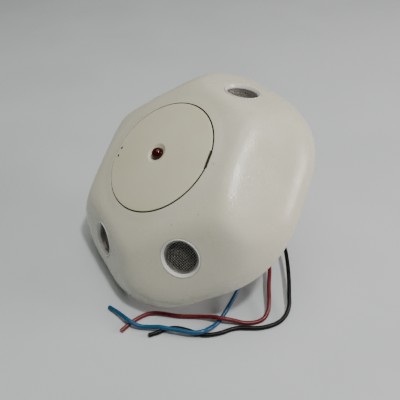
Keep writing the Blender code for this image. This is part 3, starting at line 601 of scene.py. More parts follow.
def dome_mesh(name, settings, polar_degrees, azimuth_steps, inset, floor_z, lip=0.0):
    """A closed dome whose last ring is at floor_z, with a rounded lip if asked."""
    azimuths = even_angles(azimuth_steps)
    angle, azimuth = np.meshgrid(np.radians(polar_degrees), azimuths, indexing="ij")
    ray = np.stack((np.sin(angle) * np.cos(azimuth), np.sin(angle) * np.sin(azimuth), np.cos(angle)))
    near = np.zeros_like(angle)
    far = np.full_like(angle, settings.across_flats)
    for _ in range(44):
        middle = (near + far) / 2
        outside = body_level(settings, *(ray * middle), inset) > 0
        far = np.where(outside, middle, far)
        near = np.where(outside, near, middle)
    rings = list(np.moveaxis(ray * near, 0, -1))
    rings[-1][:, 2] = floor_z
    if lip:
        foot = rings.pop()
        for step in range(4):
            turn = step * math.pi / 6
            scale = 1 - lip * (1 - math.cos(turn)) / (settings.across_flats / 2)
            ring = foot * (scale, scale, 0)
            ring[:, 2] = floor_z + lip * (1 - math.sin(turn))
            rings.append(ring)
    verts = [rings[0][0]] + [point for ring in rings[1:] for point in ring]
    count = azimuth_steps
    faces = [[0, 1 + step, 1 + (step + 1) % count] for step in range(count)]
    for ring in range(len(rings) - 2):
        base = 1 + ring * count
        for step in range(count):
            after = (step + 1) % count
            faces.append([base + step, base + count + step, base + count + after, base + after])
    faces.append(list(range(len(verts) - count, len(verts))))
    return mesh_from(name, verts, faces, 50.0)


# ---- shader node groups --------------------------------------------------------
class NodeTree:
    """Short ways to add and join nodes in a material or a node group."""

    def __init__(self, tree):
        self.tree = tree

    def add(self, kind, settings=None, **inputs):
        """A node with its settings and its inputs filled in or joined."""
        node = self.tree.nodes.new(kind)
        for key, value in (settings or {}).items():
            setattr(node, key, value)
        for key, value in inputs.items():
            self.join(value, node.inputs[key.replace("_", " ")])
        return node

    def join(self, value, socket):
        """Give a socket a value, or a link from another node's output."""
        if isinstance(value, bpy.types.NodeSocket):
            self.tree.links.new(value, socket)
        elif isinstance(value, tuple) and len(value) == 3 and len(socket.default_value) == 4:
            socket.default_value = (*value, 1.0)
        else:
            socket.default_value = value

    def math(self, operation, first, second=0.0, clamp=False):
        """The output of a Math node."""
        node = self.tree.nodes.new("ShaderNodeMath")
        node.operation = operation
        node.use_clamp = clamp
        self.join(first, node.inputs[0])
        self.join(second, node.inputs[1])
        return node.outputs[0]

    def ramp(self, value, low, high, out_low=0.0, out_high=1.0):
        """A value mapped from one range to another, and held inside it."""
        node = self.tree.nodes.new("ShaderNodeMapRange")
        node.interpolation_type = "SMOOTHSTEP"
        self.join(value, node.inputs["Value"])
        limits = {"From Min": low, "From Max": high, "To Min": out_low, "To Max": out_high}
        for label, limit in limits.items():
            node.inputs[label].default_value = limit
        return node.outputs["Result"]

    def mix(self, mask, first, second):
        """Two colours mixed by a mask."""
        node = self.tree.nodes.new("ShaderNodeMix")
        node.data_type = "RGBA"
        self.join(mask, node.inputs["Factor"])
        self.join(first, node.inputs[6])
        self.join(second, node.inputs[7])
        return node.outputs[2]

    def noise(self, vector, scale, detail=2.0, roughness=0.5):
        """The value of a noise texture."""
        node = self.add("ShaderNodeTexNoise", Vector=vector, Scale=scale, Detail=detail)
        node.inputs["Roughness"].default_value = roughness
        return node.outputs["Fac"]


def new_group(name, inputs, outputs):
    """A node group with a vector and numbers in and numbers out, its tree and its end nodes."""
    group = bpy.data.node_groups.new(name, "ShaderNodeTree")
    add_socket = group.interface.new_socket
    add_socket(name="Vector", in_out="INPUT", socket_type="NodeSocketVector")
    for label, default in inputs.items():
        socket = add_socket(name=label, in_out="INPUT", socket_type="NodeSocketFloat")
        socket.default_value = default
    for label in outputs:
        add_socket(name=label, in_out="OUTPUT", socket_type="NodeSocketFloat")
    nodes = NodeTree(group)
    start = nodes.add("NodeGroupInput")
    end = nodes.add("NodeGroupOutput")
    return group, nodes, start, end


def moulded_grain_group():
    """Fine moulded grain, broad mottling and slow waviness of a plastic surface."""
    if "Moulded Grain" in bpy.data.node_groups:
        return bpy.data.node_groups["Moulded Grain"]
    group, nodes, start, end = new_group(
        "Moulded Grain",
        {"Grain": 2600.0, "Mottle": 60.0},
        ("Height", "Mottle", "Sheen"),
    )
    where = start.outputs["Vector"]
    grain = nodes.noise(where, start.outputs["Grain"], 3.0, 0.6)
    half = nodes.math("MULTIPLY", start.outputs["Grain"], 0.37)
    coarse = nodes.noise(where, half, 2.0)
    fine_part = nodes.math("MULTIPLY", grain, 0.6)
    height = nodes.math("ADD", fine_part, nodes.math("MULTIPLY", coarse, 0.4))
    mottle = nodes.noise(where, start.outputs["Mottle"], 4.0, 0.55)
    sheen = nodes.noise(where, nodes.math("MULTIPLY", start.outputs["Mottle"], 2.3), 3.0)
    nodes.join(height, end.inputs["Height"])
    nodes.join(nodes.ramp(mottle, 0.34, 0.68), end.inputs["Mottle"])
    nodes.join(nodes.ramp(sheen, 0.3, 0.7), end.inputs["Sheen"])
    return group


def handling_marks_group():
    """Sparse dark specks and short scuffs from handling."""
    if "Handling Marks" in bpy.data.node_groups:
        return bpy.data.node_groups["Handling Marks"]
    group, nodes, start, end = new_group(
        "Handling Marks",
        {"Specks": 330.0, "Scuffs": 110.0, "Amount": 0.5},
        ("Specks", "Scuffs"),
    )
    where = start.outputs["Vector"]
    cells = nodes.add("ShaderNodeTexVoronoi", Vector=where, Scale=start.outputs["Specks"])
    near = nodes.ramp(cells.outputs["Distance"], 0.05, 0.13, 1.0, 0.0)
    chosen = nodes.ramp(nodes.noise(where, 95.0, 2.0), 0.60, 0.68)
    speck = nodes.math("MULTIPLY", near, chosen)
    stretched = nodes.add("ShaderNodeMapping", Vector=where)
    stretched.inputs["Rotation"].default_value = (0.4, 0.3, 0.8)
    stretched.inputs["Scale"].default_value = (0.25, 2.2, 1.4)
    scratch = nodes.noise(stretched.outputs["Vector"], start.outputs["Scuffs"], 5.0, 0.7)
    scuff = nodes.ramp(scratch, 0.62, 0.74)
    amount = start.outputs["Amount"]
    nodes.join(nodes.math("MULTIPLY", speck, amount, True), end.inputs["Specks"])
    nodes.join(nodes.math("MULTIPLY", scuff, amount, True), end.inputs["Scuffs"])
    return group


def seam_shade_group():
    """Painted shade, and grime, in the seam round the cover, below the crown's surface."""
    if "Seam Shade and Grime" in bpy.data.node_groups:
        return bpy.data.node_groups["Seam Shade and Grime"]
    group, nodes, start, end = new_group(
        "Seam Shade and Grime",
        {"Inner": 0.0, "Outer": 0.0, "Crown": 0.0, "Reach": 0.0},
        ("Shade and Grime",),
    )
    parts = nodes.add("ShaderNodeSeparateXYZ", Vector=start.outputs["Vector"]).outputs
    flat = nodes.add("ShaderNodeCombineXYZ", X=parts["X"], Y=parts["Y"])
    measure = nodes.add("ShaderNodeVectorMath", {"operation": "LENGTH"})
    nodes.join(flat.outputs["Vector"], measure.inputs[0])
    radius = measure.outputs["Value"]
    within = nodes.ramp(nodes.math("SUBTRACT", radius, start.outputs["Inner"]), 0.0, 0.5 * MM)
    past_edge = nodes.math("SUBTRACT", radius, start.outputs["Outer"])
    beyond = nodes.ramp(past_edge, 0.0, 0.06 * MM, 1.0, 0.0)
    depth = nodes.math("SUBTRACT", start.outputs["Crown"], parts["Z"])
    below = nodes.ramp(depth, 0.06 * MM, 0.42 * MM)
    deeper = nodes.math("SUBTRACT", depth, start.outputs["Reach"])
    below = nodes.math("MULTIPLY", below, nodes.ramp(deeper, 0.0, 0.1 * MM, 1.0, 0.0))
    uneven = nodes.ramp(nodes.noise(start.outputs["Vector"], 420.0, 3.0), 0.25, 0.6, 0.88, 1.0)
    # painted shade: darker the deeper a point lies below the crown, between the seam's inner and outer radii
    darkening = nodes.math("MULTIPLY", nodes.math("MULTIPLY", within, beyond), below)
    nodes.join(nodes.math("MULTIPLY", darkening, uneven, True), end.inputs["Shade and Grime"])
    return group


def drawn_metal_group():
    """Fine lines, dull patches and pits of a drawn or plated metal."""
    if "Drawn Metal" in bpy.data.node_groups:
        return bpy.data.node_groups["Drawn Metal"]
    group, nodes, start, end = new_group(
        "Drawn Metal",
        {"Lines": 900.0, "Patches": 260.0},
        ("Height", "Patches"),
    )
    where = start.outputs["Vector"]
    stretched = nodes.add("ShaderNodeMapping", Vector=where)
    stretched.inputs["Scale"].default_value = (1.0, 1.0, 0.12)
    lines = nodes.noise(stretched.outputs["Vector"], start.outputs["Lines"], 3.0, 0.6)
    patches = nodes.noise(where, start.outputs["Patches"], 4.0, 0.6)
    nodes.join(lines, end.inputs["Height"])
    nodes.join(nodes.ramp(patches, 0.36, 0.66), end.inputs["Patches"])
    return group


# ---- materials -----------------------------------------------------------------
class Finish(NodeTree):
    """A material being built round its Principled shader."""

    def __init__(self, name, roughness=0.5, metallic=0.0, **plain):
        self.material = bpy.data.materials.new(f"fine_{name}")
        self.material.use_nodes = True
        super().__init__(self.material.node_tree)
        self.shader = self.tree.nodes["Principled BSDF"]
        self.shader.inputs["Roughness"].default_value = roughness
        self.shader.inputs["Metallic"].default_value = metallic
        for key, value in plain.items():
            self.shader.inputs[key.replace("_", " ")].default_value = value
        shared = self.add("ShaderNodeTexCoord").outputs["Object"]
        own = self.add("ShaderNodeMapping", {"vector_type": "TEXTURE"}, Vector=shared)
        own.inputs["Location"].default_value = SENSOR.to_translation()
        own.inputs["Rotation"].default_value = SENSOR.to_euler()
        self.where = own.outputs["Vector"]

    def group(self, group, **inputs):
        """One of the shared effects, on this material's own coordinates."""
        node = self.add("ShaderNodeGroup", {"node_tree": group})
        self.join(self.where, node.inputs["Vector"])
        for key, value in inputs.items():
            node.inputs[key].default_value = value
        return node.outputs

    def colour(self, shade):
        """The shader's base colour."""
        self.join(shade, self.shader.inputs["Base Color"])

    def gloss(self, sheen, low, high):
        """The shader's roughness, from low to high with the sheen."""
        self.join(self.ramp(sheen, 0.0, 1.0, low, high), self.shader.inputs["Roughness"])

    def relief(self, height, distance):
        """Bump from a height, in metres, on the shader's normal."""
        bump = self.add("ShaderNodeBump", Height=height, Distance=distance, Strength=1.0)
        self.join(bump.outputs["Normal"], self.shader.inputs["Normal"])


def finished(name):
    """A material that is already built, or None."""
    return bpy.data.materials.get(f"fine_{name}")


def moulded_plastic(name, body, aged, roughness, grain, relief, marks, seam=None):
    """Aged moulded plastic with grain, mottling, specks and scuffs, and painted shade with grime in the seam if
    asked.
    """
    if finished(name):
        return finished(name)
    finish = Finish(name, roughness)
    surface = finish.group(moulded_grain_group(), Grain=grain, Mottle=48.0)
    wear = finish.group(handling_marks_group(), Amount=marks)
    shade = finish.mix(surface["Mottle"], tuple(body), tuple(aged))
    darkening = tuple(0.3 * channel for channel in aged)
    shade = finish.mix(wear["Specks"], shade, darkening)
    pale = tuple(min(1.0, 1.12 * channel) for channel in body)
    shade = finish.mix(finish.math("MULTIPLY", wear["Scuffs"], 0.35), shade, pale)
    # painted shade: the seam's walls and floor darkened to near black below the crown, with a little grime
    if seam:
        labels = ("Inner", "Outer", "Crown", "Reach")
        seam_shade = finish.group(seam_shade_group(), **dict(zip(labels, seam)))
        shade = finish.mix(seam_shade["Shade and Grime"], shade, (0.030, 0.026, 0.014))
    finish.colour(shade)
    gloss = finish.ramp(surface["Sheen"], 0.0, 1.0, roughness - 0.05, roughness + 0.06)
    gloss = finish.math("ADD", gloss, finish.math("MULTIPLY", wear["Scuffs"], 0.08))
    finish.join(gloss, finish.shader.inputs["Roughness"])
    finish.relief(surface["Height"], relief)
    return finish.material


def insulation(name, tone, gloss_level=0.4):
    """Flexible extruded lead insulation, a little dusty."""
    if finished(name):
        return finished(name)
    finish = Finish(name, 0.34, Specular_IOR_Level=gloss_level)
    surface = finish.group(moulded_grain_group(), Grain=1500.0, Mottle=130.0)
    dusty = tuple(1.15 * channel + 0.002 for channel in tone)
    shade = finish.mix(finish.math("MULTIPLY", surface["Mottle"], 0.5), tuple(tone), dusty)
    finish.colour(shade)
    finish.gloss(surface["Sheen"], 0.27, 0.42)
    finish.relief(surface["Height"], 0.00002)
    return finish.material


def metal(name, tone, roughness):
    """Drawn or plated metal with lines and dull patches."""
    if finished(name):
        return finished(name)
    finish = Finish(name, roughness, 1.0)
    surface = finish.group(drawn_metal_group(), Lines=900.0)
    dull = tuple(0.72 * channel for channel in tone)
    finish.colour(finish.mix(surface["Patches"], tuple(tone), dull))
    finish.gloss(surface["Patches"], roughness - 0.06, roughness + 0.12)
    finish.relief(surface["Height"], 0.00001)
    return finish.material


def moulded_part(name, tone, roughness, grain=1800.0):
    """A small moulded or potted electronic part."""
    if finished(name):
        return finished(name)
    finish = Finish(name, roughness)
    surface = finish.group(moulded_grain_group(), Grain=grain, Mottle=220.0)
    light = tuple(min(1.0, 1.25 * channel + 0.004) for channel in tone)
    finish.colour(finish.mix(surface["Mottle"], tuple(tone), light))
    finish.gloss(surface["Sheen"], roughness - 0.05, roughness + 0.08)
    finish.relief(surface["Height"], 0.00003)
    return finish.material


def lamp_resin(tone):
    """Dark clear resin, with painted shade making it darker towards the lamp's base."""
    if finished("lamp_resin"):
        return finished("lamp_resin")
    finish = Finish("lamp_resin", 0.07, Specular_IOR_Level=0.35)
    surface = finish.group(moulded_grain_group(), Grain=900.0, Mottle=300.0)
    height = finish.add("ShaderNodeSeparateXYZ", Vector=finish.where).outputs["Z"]
    # painted shade: the lamp's lower part, down in its hole, darkened by height
    shaded_base_tone = tuple(0.55 * channel for channel in tone)
    rise = finish.ramp(height, 0.0295, 0.0338)
    shade = finish.mix(rise, shaded_base_tone, tuple(tone))
    glow = tuple(1.6 * channel for channel in tone)
    shade = finish.mix(finish.math("MULTIPLY", surface["Mottle"], 0.3), shade, glow)
    finish.colour(shade)
    finish.relief(surface["Height"], 0.000004)
    return finish.material


def solder_mask():
    """Green board lacquer with raised tracks under it."""
    if finished("solder_mask"):
        return finished("solder_mask")
    finish = Finish("solder_mask", 0.35)
    surface = finish.group(moulded_grain_group(), Grain=1400.0, Mottle=180.0)
    bricks = finish.add("ShaderNodeTexBrick", Vector=finish.where, Scale=160.0)
    bricks.inputs["Mortar Size"].default_value = 0.09
    tracks = bricks.outputs["Fac"]
    shade = finish.mix(tracks, (0.010, 0.085, 0.030), (0.022, 0.150, 0.050))
    pale = finish.math("MULTIPLY", surface["Mottle"], 0.3)
    shade = finish.mix(pale, shade, (0.030, 0.130, 0.060))
    finish.colour(shade)
    finish.relief(tracks, 0.00004)
    return finish.material


def rear_plastic(settings):
    """The plastic of the rear cover and the nut."""
    aged = tuple(0.94 * channel for channel in settings.rear_colour)
    return moulded_plastic("rear_plastic", settings.rear_colour, aged, 0.48, 2000.0, 0.00005, 0.35)


def zinc_steel(context):
    """The zinc-plated steel of the screws, the washer and the crystal's can."""
    return metal("zinc_steel", context.scene.sensor.rear.steel_colour, 0.34)


def phenolic(context):
    """The dark board material of the lamp's spacer and the pin bases."""
    return moulded_part("phenolic", context.scene.sensor.electronics.phenolic_colour, 0.55)


def paper_surface(tone):
    """The pale surface under the sensor."""
    if finished("pale_surface"):
        return finished("pale_surface")
    finish = Finish("pale_surface", 0.75)
    surface = finish.group(moulded_grain_group(), Grain=700.0, Mottle=14.0)
    darker = tuple(0.95 * channel for channel in tone)
    finish.colour(finish.mix(surface["Mottle"], tuple(tone), darker))
    finish.relief(surface["Height"], 0.00006)
    return finish.material


# ---- operators -----------------------------------------------------------------
class SENSOR_OT_stage(bpy.types.Operator):
    """Add the surface, the camera and the lights"""

    bl_idname = "sensor.stage"
    bl_label = "Stage"

    def execute(self, context):
        """Build the stage."""
        settings = context.scene.sensor.stage
        disc = outline_points([1.6] * 96, even_angles(96))
        floor = linked("surface", prism_mesh("surface", disc, -0.004, 0.0))
        floor.data.materials.append(paper_surface(settings.floor_colour))
        self.add_camera(context, settings)
        self.add_lights(context, settings)
        return {"FINISHED"}

    def add_camera(self, context, settings):
        """The camera, above and to the right of the sensor's front."""
        data = bpy.data.cameras.new("camera")
        data.lens = settings.lens
        data.sensor_width = 36.0
        data.clip_start = 0.01
        camera = linked("camera", data)
        forward = Vector(CAMERA_FORWARD).normalized()
        right = forward.cross(Vector(CAMERA_UP)).normalized()
        up = right.cross(forward)
        turn = Matrix((right, up, -forward)).transposed().to_4x4()
        camera.matrix_world = Matrix.Translation(CAMERA_PLACE) @ turn
        context.scene.camera = camera

    def add_lights(self, context, settings):
        """A small main light, two soft ones and light from all round."""
        lights = (
            ("key_light", (0.285, 0.105, 0.76), 0.07, settings.key_power, (1.0, 0.98, 0.94)),
            ("top_light", (-0.06, 0.10, 0.88), 0.70, settings.top_power, (1.0, 0.99, 0.87)),
            ("side_light", (0.56, 0.70, 0.36), 0.36, settings.side_power, (1.0, 0.87, 0.82)),
        )
        for name, place, size, power, tint in lights:
            data = bpy.data.lights.new(name, "AREA")
            data.shape = "DISK"
            data.size = size
            data.energy = power
            data.color = tint
            light = linked(name, data)
            light.location = place
            aim = Vector((0.0, 0.0, 0.03)) - light.location
            light.rotation_euler = aim.to_track_quat("-Z", "Y").to_euler()
        world = bpy.data.worlds.new("soft_light")
        world.use_nodes = True
        nodes = NodeTree(world.node_tree)
        back = world.node_tree.nodes["Background"]
        back.inputs["Color"].default_value = (1.0, 0.99, 0.95, 1.0)
        seen = nodes.add("ShaderNodeLightPath").outputs["Is Camera Ray"]
        strength = nodes.math("MULTIPLY", seen, settings.backdrop_strength)
        nodes.join(nodes.math("ADD", strength, settings.sky_strength), back.inputs["Strength"])
        context.scene.world = world


class SENSOR_OT_leads(bpy.types.Operator):
    """Build the three free leads and their cut ends"""

    bl_idname = "sensor.leads"
    bl_label = "Leads"

    def execute(self, context):
        """Build the leads."""
        settings = context.scene.sensor.leads
        leads = (
            ("red", RED_ROUTE, settings.red),
            ("blue", BLUE_ROUTE, settings.blue),
            ("black", BLACK_ROUTE, settings.black),
        )
        for name, route, tone in leads:
            points = smooth_route(np.array(route) + np.array((0.0, ORIGIN.y, 0.0)), 1.9 * MM)
            material = insulation(f"{name}_insulation", tone, 0.2 if name == "black" else 0.4)
            lead = self.add_lead(f"{name}_lead_insulation", points, settings, material)
            fit_to_body(lead, "sensor", f"lead_{name}", f"{name}_lead")
            strands = self.add_strands(f"{name}_lead_strands", points, settings)
            fit_to_body(strands, "sensor", f"lead_{name}")
        inner = finished("black_insulation")
        for number in range(1, 5):
            dress_node(f"transducer_wire_{number}", inner)
        for name, _, _ in leads:
            dress_node(f"{name}_lead_inner", finished(f"{name}_insulation"))
        return {"FINISHED"}

    def add_lead(self, name, points, settings, material):
        """One round lead as a curve with closed ends."""
        curve = bpy.data.curves.new(name, "CURVE")
        curve.dimensions = "3D"
        curve.bevel_depth = settings.lead_radius
        curve.bevel_resolution = 5
        curve.use_fill_caps = True
        spline = curve.splines.new("POLY")
        spline.points.add(len(points) - 1)
        for target, point in zip(spline.points, points):
            target.co = (*point, 1.0)
        curve.materials.append(material)
        return linked(name, curve)

    def add_strands(self, name, points, settings):
        """Seven copper strands, cut flush with the end of the insulation."""
        strand = turned_mesh(
            "strand", ((0, 0), (0.17 * MM, 0), (0.17 * MM, 0.9 * MM), (0, 0.9 * MM)), 10, False
        )
        places = [Matrix()]
        for step in range(6):
            places.append(Matrix.Translation(polar(0.34 * MM, step * 60)))
        mesh = joined_mesh(name, [(strand, place) for place in places])
        mesh.materials.append(metal("copper_strand", settings.copper, 0.3))
        end = Vector(points[-1])
        outwards = (end - Vector(points[-2])).normalized()
        turn = outwards.to_track_quat("Z", "Y").to_matrix().to_4x4()
        mesh.transform(Matrix.Translation(end - outwards * 0.87 * MM) @ turn)
        return linked(name, mesh)


def smooth_route(points, spacing):
    """Evenly spaced points on a smooth curve through the given ones."""
    knots = np.array(points, float)
    chords = np.sqrt(np.linalg.norm(np.diff(knots, axis=0), axis=1))
    times = np.concatenate(([0.0], np.cumsum(chords)))
    slopes = np.gradient(knots, times, axis=0)
    fine = []
    for index in range(len(knots) - 1):
        span = times[index + 1] - times[index]
        for part in np.linspace(0, 1, 16, endpoint=False):
            square = part**2
            cube = part**3
            fine.append(
                (2 * cube - 3 * square + 1) * knots[index]
                + (cube - 2 * square + part) * span * slopes[index]
                + (3 * square - 2 * cube) * knots[index + 1]
                + (cube - square) * span * slopes[index + 1]
            )
    fine.append(knots[-1])
    fine = np.array(fine)
    distance = np.concatenate(([0.0], np.cumsum(np.linalg.norm(np.diff(fine, axis=0), axis=1))))
    count = max(2, round(distance[-1] / spacing) + 1)
    wanted = np.linspace(0, distance[-1], count)
    return np.stack([np.interp(wanted, distance, fine[:, axis]) for axis in range(3)], axis=1)


def dress_node(node, material):
    """Give a carried-over node its material."""
    mesh = frame["nodes"][node].data
    mesh.materials.clear()
    mesh.materials.append(material)


class SENSOR_OT_housing(bpy.types.Operator):
    """Build the moulded front housing"""

    bl_idname = "sensor.housing"
    bl_label = "Front Housing"

    def execute(self, context):
        """Build the housing."""
        settings = context.scene.sensor.housing
        steps = settings.azimuth_steps
        outer_angles = np.linspace(0, 90, 76)[[0, *range(16, 76)]]
        outer = dome_mesh("housing", settings, outer_angles, steps, 0.0, 0.0, 0.25 * MM)
        radius = settings.recess_radius
        crown = float(crown_height(settings, radius))
        # where the painted shade darkens the recess wall and the outer ring of its floor
        seam = (radius - 1.1 * MM, radius + 0.04 * MM, crown, 4 * MM)
        tones = (settings.body_colour, settings.aged_colour)
        material = moulded_plastic("housing_plastic", *tones, 0.24, 2300.0, 0.00011, 0.8, seam)
        housing = add_piece("front_housing_shell", outer, material)
        carve(housing, self.cutters(context))
        fit_to_body(housing, "sensor", "housing_plastic", "front_housing")
        return {"FINISHED"}

    def cutters(self, context):
        """What is cut out of the solid dome, each with its placement."""
        settings = context.scene.sensor.housing
        floor = settings.floor_top
        lip = crown_height(settings, settings.recess_radius)
        inner_angles = np.linspace(0, 90, 46)[[0, *range(8, 46)]]
        cavity = dome_mesh("cavity", settings, inner_angles, 120, settings.wall, -1 * MM)
        flatten_above(cavity, floor - 1.6 * MM)
        recess = rounded_profile(
            (
                (0.0, floor),
                (settings.recess_radius, floor),
                (settings.recess_radius, lip - 0.12 * MM),
                (settings.recess_radius + 0.04 * MM, lip - 0.03 * MM),
                (settings.recess_radius + 0.14 * MM, lip + 0.02 * MM),
                (settings.recess_radius + 0.14 * MM, 40 * MM),
                (0.0, 40 * MM),
            ),
            (0, 0.2 * MM, 0, 0, 0, 0, 0),
        )
        parts = [
            (cavity, Matrix()),
            (turned_mesh("recess", recess, 160, False), Matrix()),
            (turned_mesh("lamp_hole", tube_line(3.2 * MM, 20 * MM, 30 * MM), 40, False), Matrix()),
        ]
        drain = turned_mesh("release_hole", tube_line(0.9 * MM, 22 * MM, 30 * MM), 24, False)
        for side in (-1, 1):
            parts.append((drain, Matrix.Translation((-PINHOLE_DISTANCE, side * PINHOLE_SPREAD, 0))))
        pry = box_mesh("pry_slot", (1.9 * MM, 7.6 * MM, 6 * MM), 0.1 * MM)
        parts.append((pry, Matrix.Translation((27.05 * MM, NOTCH_SHIFT, floor))))
        access = turned_mesh("access_hole", tube_line(3.5 * MM, 20 * MM, 30 * MM), 40, False)
        for side in (-1, 1):
            parts.append((access, Matrix.Translation((0, side * TRIMMER_DISTANCE, 0))))
        slot = box_mesh("finger_slot", (3.4 * MM, 6.2 * MM, 6 * MM), 0.3 * MM)
        for azimuth in FINGER_AZIMUTHS:
            turn = about_axis(azimuth)
            parts.append((slot, Matrix.Translation(polar(FINGER_DISTANCE, azimuth, floor)) @ turn))
        seat_radius = context.scene.sensor.transducer.bezel_radius + 0.14 * MM
        seat = (
            (0.0, -6 * MM),
            (8.3 * MM, -6 * MM),
            (8.3 * MM, -1 * MM),
            (seat_radius, -1 * MM),
            (seat_radius, -0.16 * MM),
            (seat_radius + 0.05 * MM, -0.04 * MM),
            (seat_radius + 0.18 * MM, 0.02 * MM),
            (seat_radius + 0.18 * MM, 6 * MM),
            (0.0, 6 * MM),
        )
        seat_mesh = turned_mesh("transducer_seat", seat, 96, False)
        for azimuth in TRANSDUCER_AZIMUTHS:
            parts.append((seat_mesh, facet_place(context.scene.sensor.transducer, azimuth)))
        return parts


def tube_line(radius, low, high):
    """The profile of a plain round hole."""
    return ((0.0, low), (radius, low), (radius, high), (0.0, high))


def flatten_above(mesh, height):
    """Bring every point above a height down to it, a hair apart so that none coincide."""
    count = len(mesh.vertices)
    points = np.empty(count * 3)
    mesh.vertices.foreach_get("co", points)
    points = points.reshape(-1, 3)
    over = np.maximum(points[:, 2] - height, 0.0)
    points[:, 2] = np.minimum(points[:, 2], height) + over * 0.002
    mesh.vertices.foreach_set("co", points.ravel())
    mesh.update()


class SENSOR_OT_cover(bpy.types.Operator):
    """Build the round lift-off cover"""

    bl_idname = "sensor.cover"
    bl_label = "Access Cover"

    def execute(self, context):
        """Build the cover."""
        housing = context.scene.sensor.housing
        settings = context.scene.sensor.cover
        edge = settings.radius
        # where the painted shade darkens the cover's edge and skirt inside the seam
        seam = (edge - 3.2 * MM, edge + 1 * MM, float(crown_height(housing, edge)), 1.45 * MM)
        tones = (settings.cover_colour, settings.aged_colour)
        material = moulded_plastic("cover_plastic", *tones, 0.46, 2100.0, 0.00005, 0.4, seam)
        profile = self.profile(housing, settings)
        seated = Matrix.Translation(polar(settings.play, 165))
        disc = turned_mesh("access_cover_disc", profile, 160)
        cover = add_piece("access_cover_disc", disc, material, seated)
        carve(cover, self.cutters(housing, settings))
        fingers = []
        finger = box_mesh("finger", (1.4 * MM, 4.8 * MM, 4.6 * MM), 0.25 * MM)
        barb = box_mesh("barb", (0.5 * MM, 3.4 * MM, 0.7 * MM), 0.15 * MM)
        for azimuth in FINGER_AZIMUTHS:
            turn = about_axis(azimuth)
            spot = Matrix.Translation(polar(FINGER_DISTANCE, azimuth, 27.0 * MM)) @ turn
            fingers.append((finger, spot))
            fingers.append((barb, spot @ Matrix.Translation((0.4 * MM, 0, -1.6 * MM))))
        joined = joined_mesh("access_cover_fingers", fingers)
        snaps = add_piece("access_cover_fingers", joined, material)
        fit_to_body(cover, "cover", "cover_plastic", "access_cover")
        fit_to_body(snaps, "cover", "cover_plastic")
        return {"FINISHED"}

    def profile(self, housing, settings):
        """The cover's section: crown, light hole, skirt and underside."""
        bottom = housing.floor_top + 0.3 * MM
        hole = settings.light_hole
        edge = settings.radius
        radii = np.linspace(hole + 0.5 * MM, edge - 0.45 * MM, 22)
        top = [(radius, float(crown_height(housing, radius))) for radius in radii]
        rim = float(crown_height(housing, edge))
        around_hole = [
            (3.6 * MM, bottom),
            (2.98 * MM, bottom + 0.5 * MM),
            (2.96 * MM, bottom + 2.30 * MM),
            (3.06 * MM, bottom + 2.50 * MM),
            (hole - 0.06 * MM, float(crown_height(housing, hole)) - 0.10 * MM),
            (hole + 0.08 * MM, float(crown_height(housing, hole)) - 0.01 * MM),
        ]
        outer = [
            (edge - 0.14 * MM, rim - 0.02 * MM),
            (edge - 0.04 * MM, rim - 0.08 * MM),
            (edge, rim - 0.2 * MM),
            (edge, bottom + 0.1 * MM),
            (edge - 0.1 * MM, bottom),
            (edge - 1.5 * MM, bottom),
        ]
        under = edge - 1.5 * MM
        inner = [
            (under, float(crown_height(housing, under)) - settings.skin + 0.1 * MM),
            (15 * MM, float(crown_height(housing, 15 * MM)) - settings.skin),
            (5.6 * MM, float(crown_height(housing, 5.6 * MM)) - settings.skin),
            (5.2 * MM, bottom),
        ]
        return [*around_hole, *top, *outer, *inner]

    def cutters(self, housing, settings):
        """The pry notch and the two pinholes."""
        ledge = housing.floor_top + 0.55 * MM
        notch = box_mesh("notch", (4 * MM, settings.notch_width, 6 * MM), 0.12 * MM)
        middle = (settings.radius - settings.notch_inset + 2 * MM, NOTCH_SHIFT, ledge + 3 * MM)
        parts = [(notch, Matrix.Translation(middle))]
        hole = tube_line(settings.pinhole_radius, 26 * MM, 33 * MM)
        pinhole = turned_mesh("pinhole", hole, 24, False)
        for side in (-1, 1):
            parts.append((pinhole, Matrix.Translation((-PINHOLE_DISTANCE, side * PINHOLE_SPREAD, 0))))
        return parts


